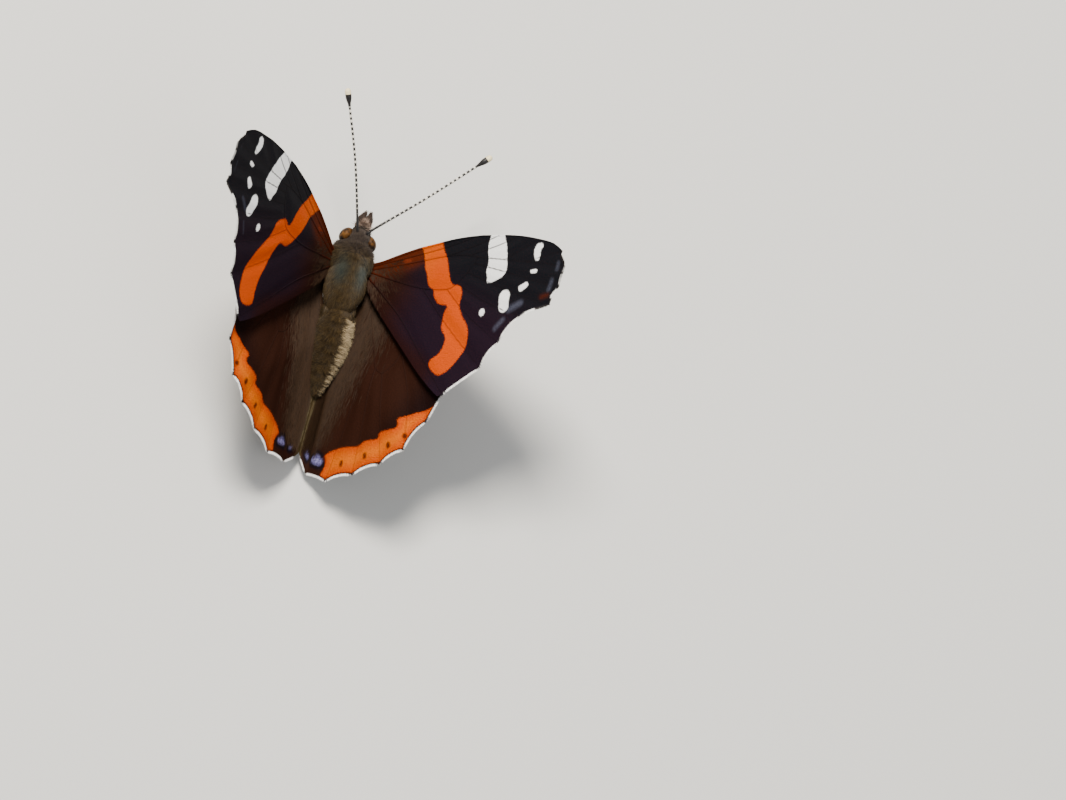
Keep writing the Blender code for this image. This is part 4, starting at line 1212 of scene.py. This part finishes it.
FEELER = feeler_material()
for word in SIDES:
    line = smooth_line(FEELER_MARKS[word], 0.07)
    run = np.concatenate([[0], np.cumsum(np.linalg.norm(np.diff(line, axis=0), axis=1))])
    left = run[-1] - run
    club = 1.0 - ease(CLUB_LENGTH * 0.45, CLUB_LENGTH, left)
    knot = 0.5 + 0.5 * np.cos(2 * pi * run / RING)
    radii = (0.125 + 0.025 * knot) * (1 - club) + 0.35 * club
    radii *= np.sqrt(np.clip(1.0 - (1.0 - left / 0.38).clip(0.0, 1.0) ** 2, 0.02, 1.0))
    feeler = rod(line, radii, 3)
    points = points_of(feeler)
    nearest = np.argmin(np.linalg.norm(points[:, None] - line[None], axis=2), axis=1)
    wide = 0.1 + 0.32 * ease(3.0, 9.0, run)
    ring = (knot > 1.0 - wide) * (left > CLUB_LENGTH) * ease(1.8, 4.2, run)
    mark(feeler, ring=ring[nearest], cream=(left < TIP_LENGTH)[nearest])
    move_points(feeler, standing(points))
    finish_piece(feeler, "antenna_" + word, [FEELER], ["antenna_" + word])


# Tongue: a coil held under the face

def chitin(name, colour, deep, roughness, grain):
    """Thin horny skin: a brown tone that clouds darker, with fine grain."""
    material, tree, shader = new_material(name, roughness=roughness, specular_ior_level=0.4)
    place = node(tree, "TexCoord").outputs["Object"]
    cloud = node(tree, "TexNoise", {}, {"Vector": place, "Scale": grain, "Detail": 4.0})
    mixed = node(tree, "Mix", MIX_COLOURS, {0: cloud.outputs["Fac"], 6: linear(deep), 7: linear(colour)})
    tree.links.new(mixed.outputs[2], shader.inputs["Base Color"])
    bump = node(tree, "Bump", {}, {"Strength": 0.4, "Distance": 0.00002, "Height": cloud.outputs["Fac"]})
    tree.links.new(bump.outputs[0], shader.inputs["Normal"])
    return material


COIL_CENTRE = np.array((0.0, 7.8, -2.5))
turn = np.linspace(0, 2 * pi * 2.4, 110)
coil_radius = np.interp(turn, (0, turn[-1]), (0.56, 0.12))
coil = COIL_CENTRE + stacked(0.0 * turn, coil_radius * np.cos(turn), coil_radius * np.sin(turn))
stem = smooth_line([(0, 7.55, -1.0), (0, 7.95, -1.5), (0, 8.3, -2.1), coil[0]], 0.1)[:-1]
tongue = rod(np.vstack([stem, coil]), np.interp(np.arange(len(stem) + len(coil)), (0, 125), (0.13, 0.06)), 3)
move_points(tongue, standing(points_of(tongue)))
finish_piece(tongue, "tongue", [chitin("tongue chitin", "#6A4522", "#2E1C10", 0.35, 3000.0)], ["tongue"])


# Legs: thigh, shin, five foot joints and two claws, scaled and bristled

LEG_MARKS = {                         # hip in the body's frame; thigh root, knee, heel and toe from the floor
    "midleg": ((1.0, 1.1, -2.5), (1.95, 1.5, 2.1), (5.4, 3.2, 4.3), (7.3, 4.5, 0.42), (10.1, 6.4)),
    "hindleg": ((0.9, -0.6, -2.2), (1.7, -1.7, 1.75), (4.9, -3.9, 4.1), (6.8, -6.2, 0.42), (9.0, -9.2)),
}
BRUSH_MARKS = ((0.7, 3.9, -2.6), (0.75, 4.1, -3.2), (0.88, 4.9, -3.6), (0.86, 5.8, -3.66), (0.8, 6.4, -4.12),
               (0.74, 5.8, -4.56), (0.68, 4.9, -4.68), (0.64, 4.2, -4.72))
FOOT = 0.15                           # radius of the foot's joints, which rest on the floor


def on_floor(points):
    """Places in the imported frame, with nothing under the floor."""
    return np.maximum(standing(points), (-1.0, -1.0, 0.0))


def bristled(piece, line, name, count, length, width, rise):
    """Short bristles over a leg, combed towards the foot."""
    roots, ups = scatter(piece, count)
    onward = unit(np.gradient(line, axis=0))
    nearest = np.argmin(np.linalg.norm(roots[:, None] - line[None], axis=2), axis=1)
    return coat(name, roots, ups, onward[nearest], np.full(count, length), width, rise, 0.3, 0.12)


def leg(name, hip, root, knee, heel, toe, side):
    """One walking leg; returns its mesh and the line that its bristles follow."""
    root, knee, heel = (from_floor(mark) for mark in (root, knee, heel))
    toe = from_floor((*toe, FOOT))
    start = from_floor((*(tilted(heel)[0][:2]), FOOT))
    pieces, lines = [], []

    def joint(a, b, radii, bow=0.0, steps=9):
        t = np.linspace(0, 1, steps)
        line = np.array(a) + np.outer(t, np.array(b) - a) + np.outer(np.sin(pi * t) * bow, (0, 0, 1))
        pieces.append(rod(line * (side, 1, 1), np.interp(t, np.linspace(0, 1, len(radii)), radii), 3))
        lines.append(line * (side, 1, 1))

    joint(np.array(hip), root, (0.5, 0.45, 0.3))
    joint(root, knee, (0.2, 0.34, 0.36, 0.3, 0.2), 0.25)
    joint(knee, heel, (0.16, 0.21, 0.19, 0.17, 0.2))
    foot = toe - start
    for k, share in enumerate(((0.0, 0.42), (0.42, 0.6), (0.6, 0.75), (0.75, 0.87), (0.87, 1.0))):
        joint(start + foot * share[0], start + foot * share[1], (0.1, FOOT - 0.015 * k, 0.12))
    ahead = unit(foot)
    across = np.cross(ahead, (0, 0, 1))
    for turn in (-1, 1):
        joint(toe, toe + ahead * 0.3 + across * (0.16 * turn) - np.array((0, 0, 0.06)), (0.06, 0.05, 0.015), 0.05)
    return pieces, np.vstack(lines[:8])


LEG_SCALES = chitin("leg chitin with ochre scales", "#8A6C46", "#4A3520", 0.55, 2500.0)
LEG_BRISTLES = hair_material("leg bristles", "#3A2A1A", "#6E5636", "#8C7450")

for word, side in SIDES.items():
    for kind, marks in LEG_MARKS.items():
        pieces, line = leg(kind, *marks, side)
        limb = join(kind, pieces)
        hair = bristled(limb, line, "bristles", 2600, 0.26, 0.035, 0.55)
        move_points(limb, on_floor(points_of(limb)))
        move_points(hair, np.maximum(points_of(hair), (-1.0, -1.0, 0.0)))
        finish_piece(limb, f"{kind}_{word}", [LEG_SCALES], [f"{kind}_{word}"])
        finish_piece(hair, f"{kind}_{word}_bristles", [LEG_BRISTLES])
    line = smooth_line(np.array(BRUSH_MARKS) * (side, 1, 1), 0.2)
    brush = rod(line, np.linspace(0.28, 0.12, len(line)), 3)
    hair = bristled(brush, line, "bristles", 3000, 0.5, 0.04, 0.7)
    move_points(brush, standing(points_of(brush)))
    finish_piece(brush, "foreleg_" + word, [LEG_SCALES], ["foreleg_" + word])
    finish_piece(hair, f"foreleg_{word}_bristles", [LEG_BRISTLES])
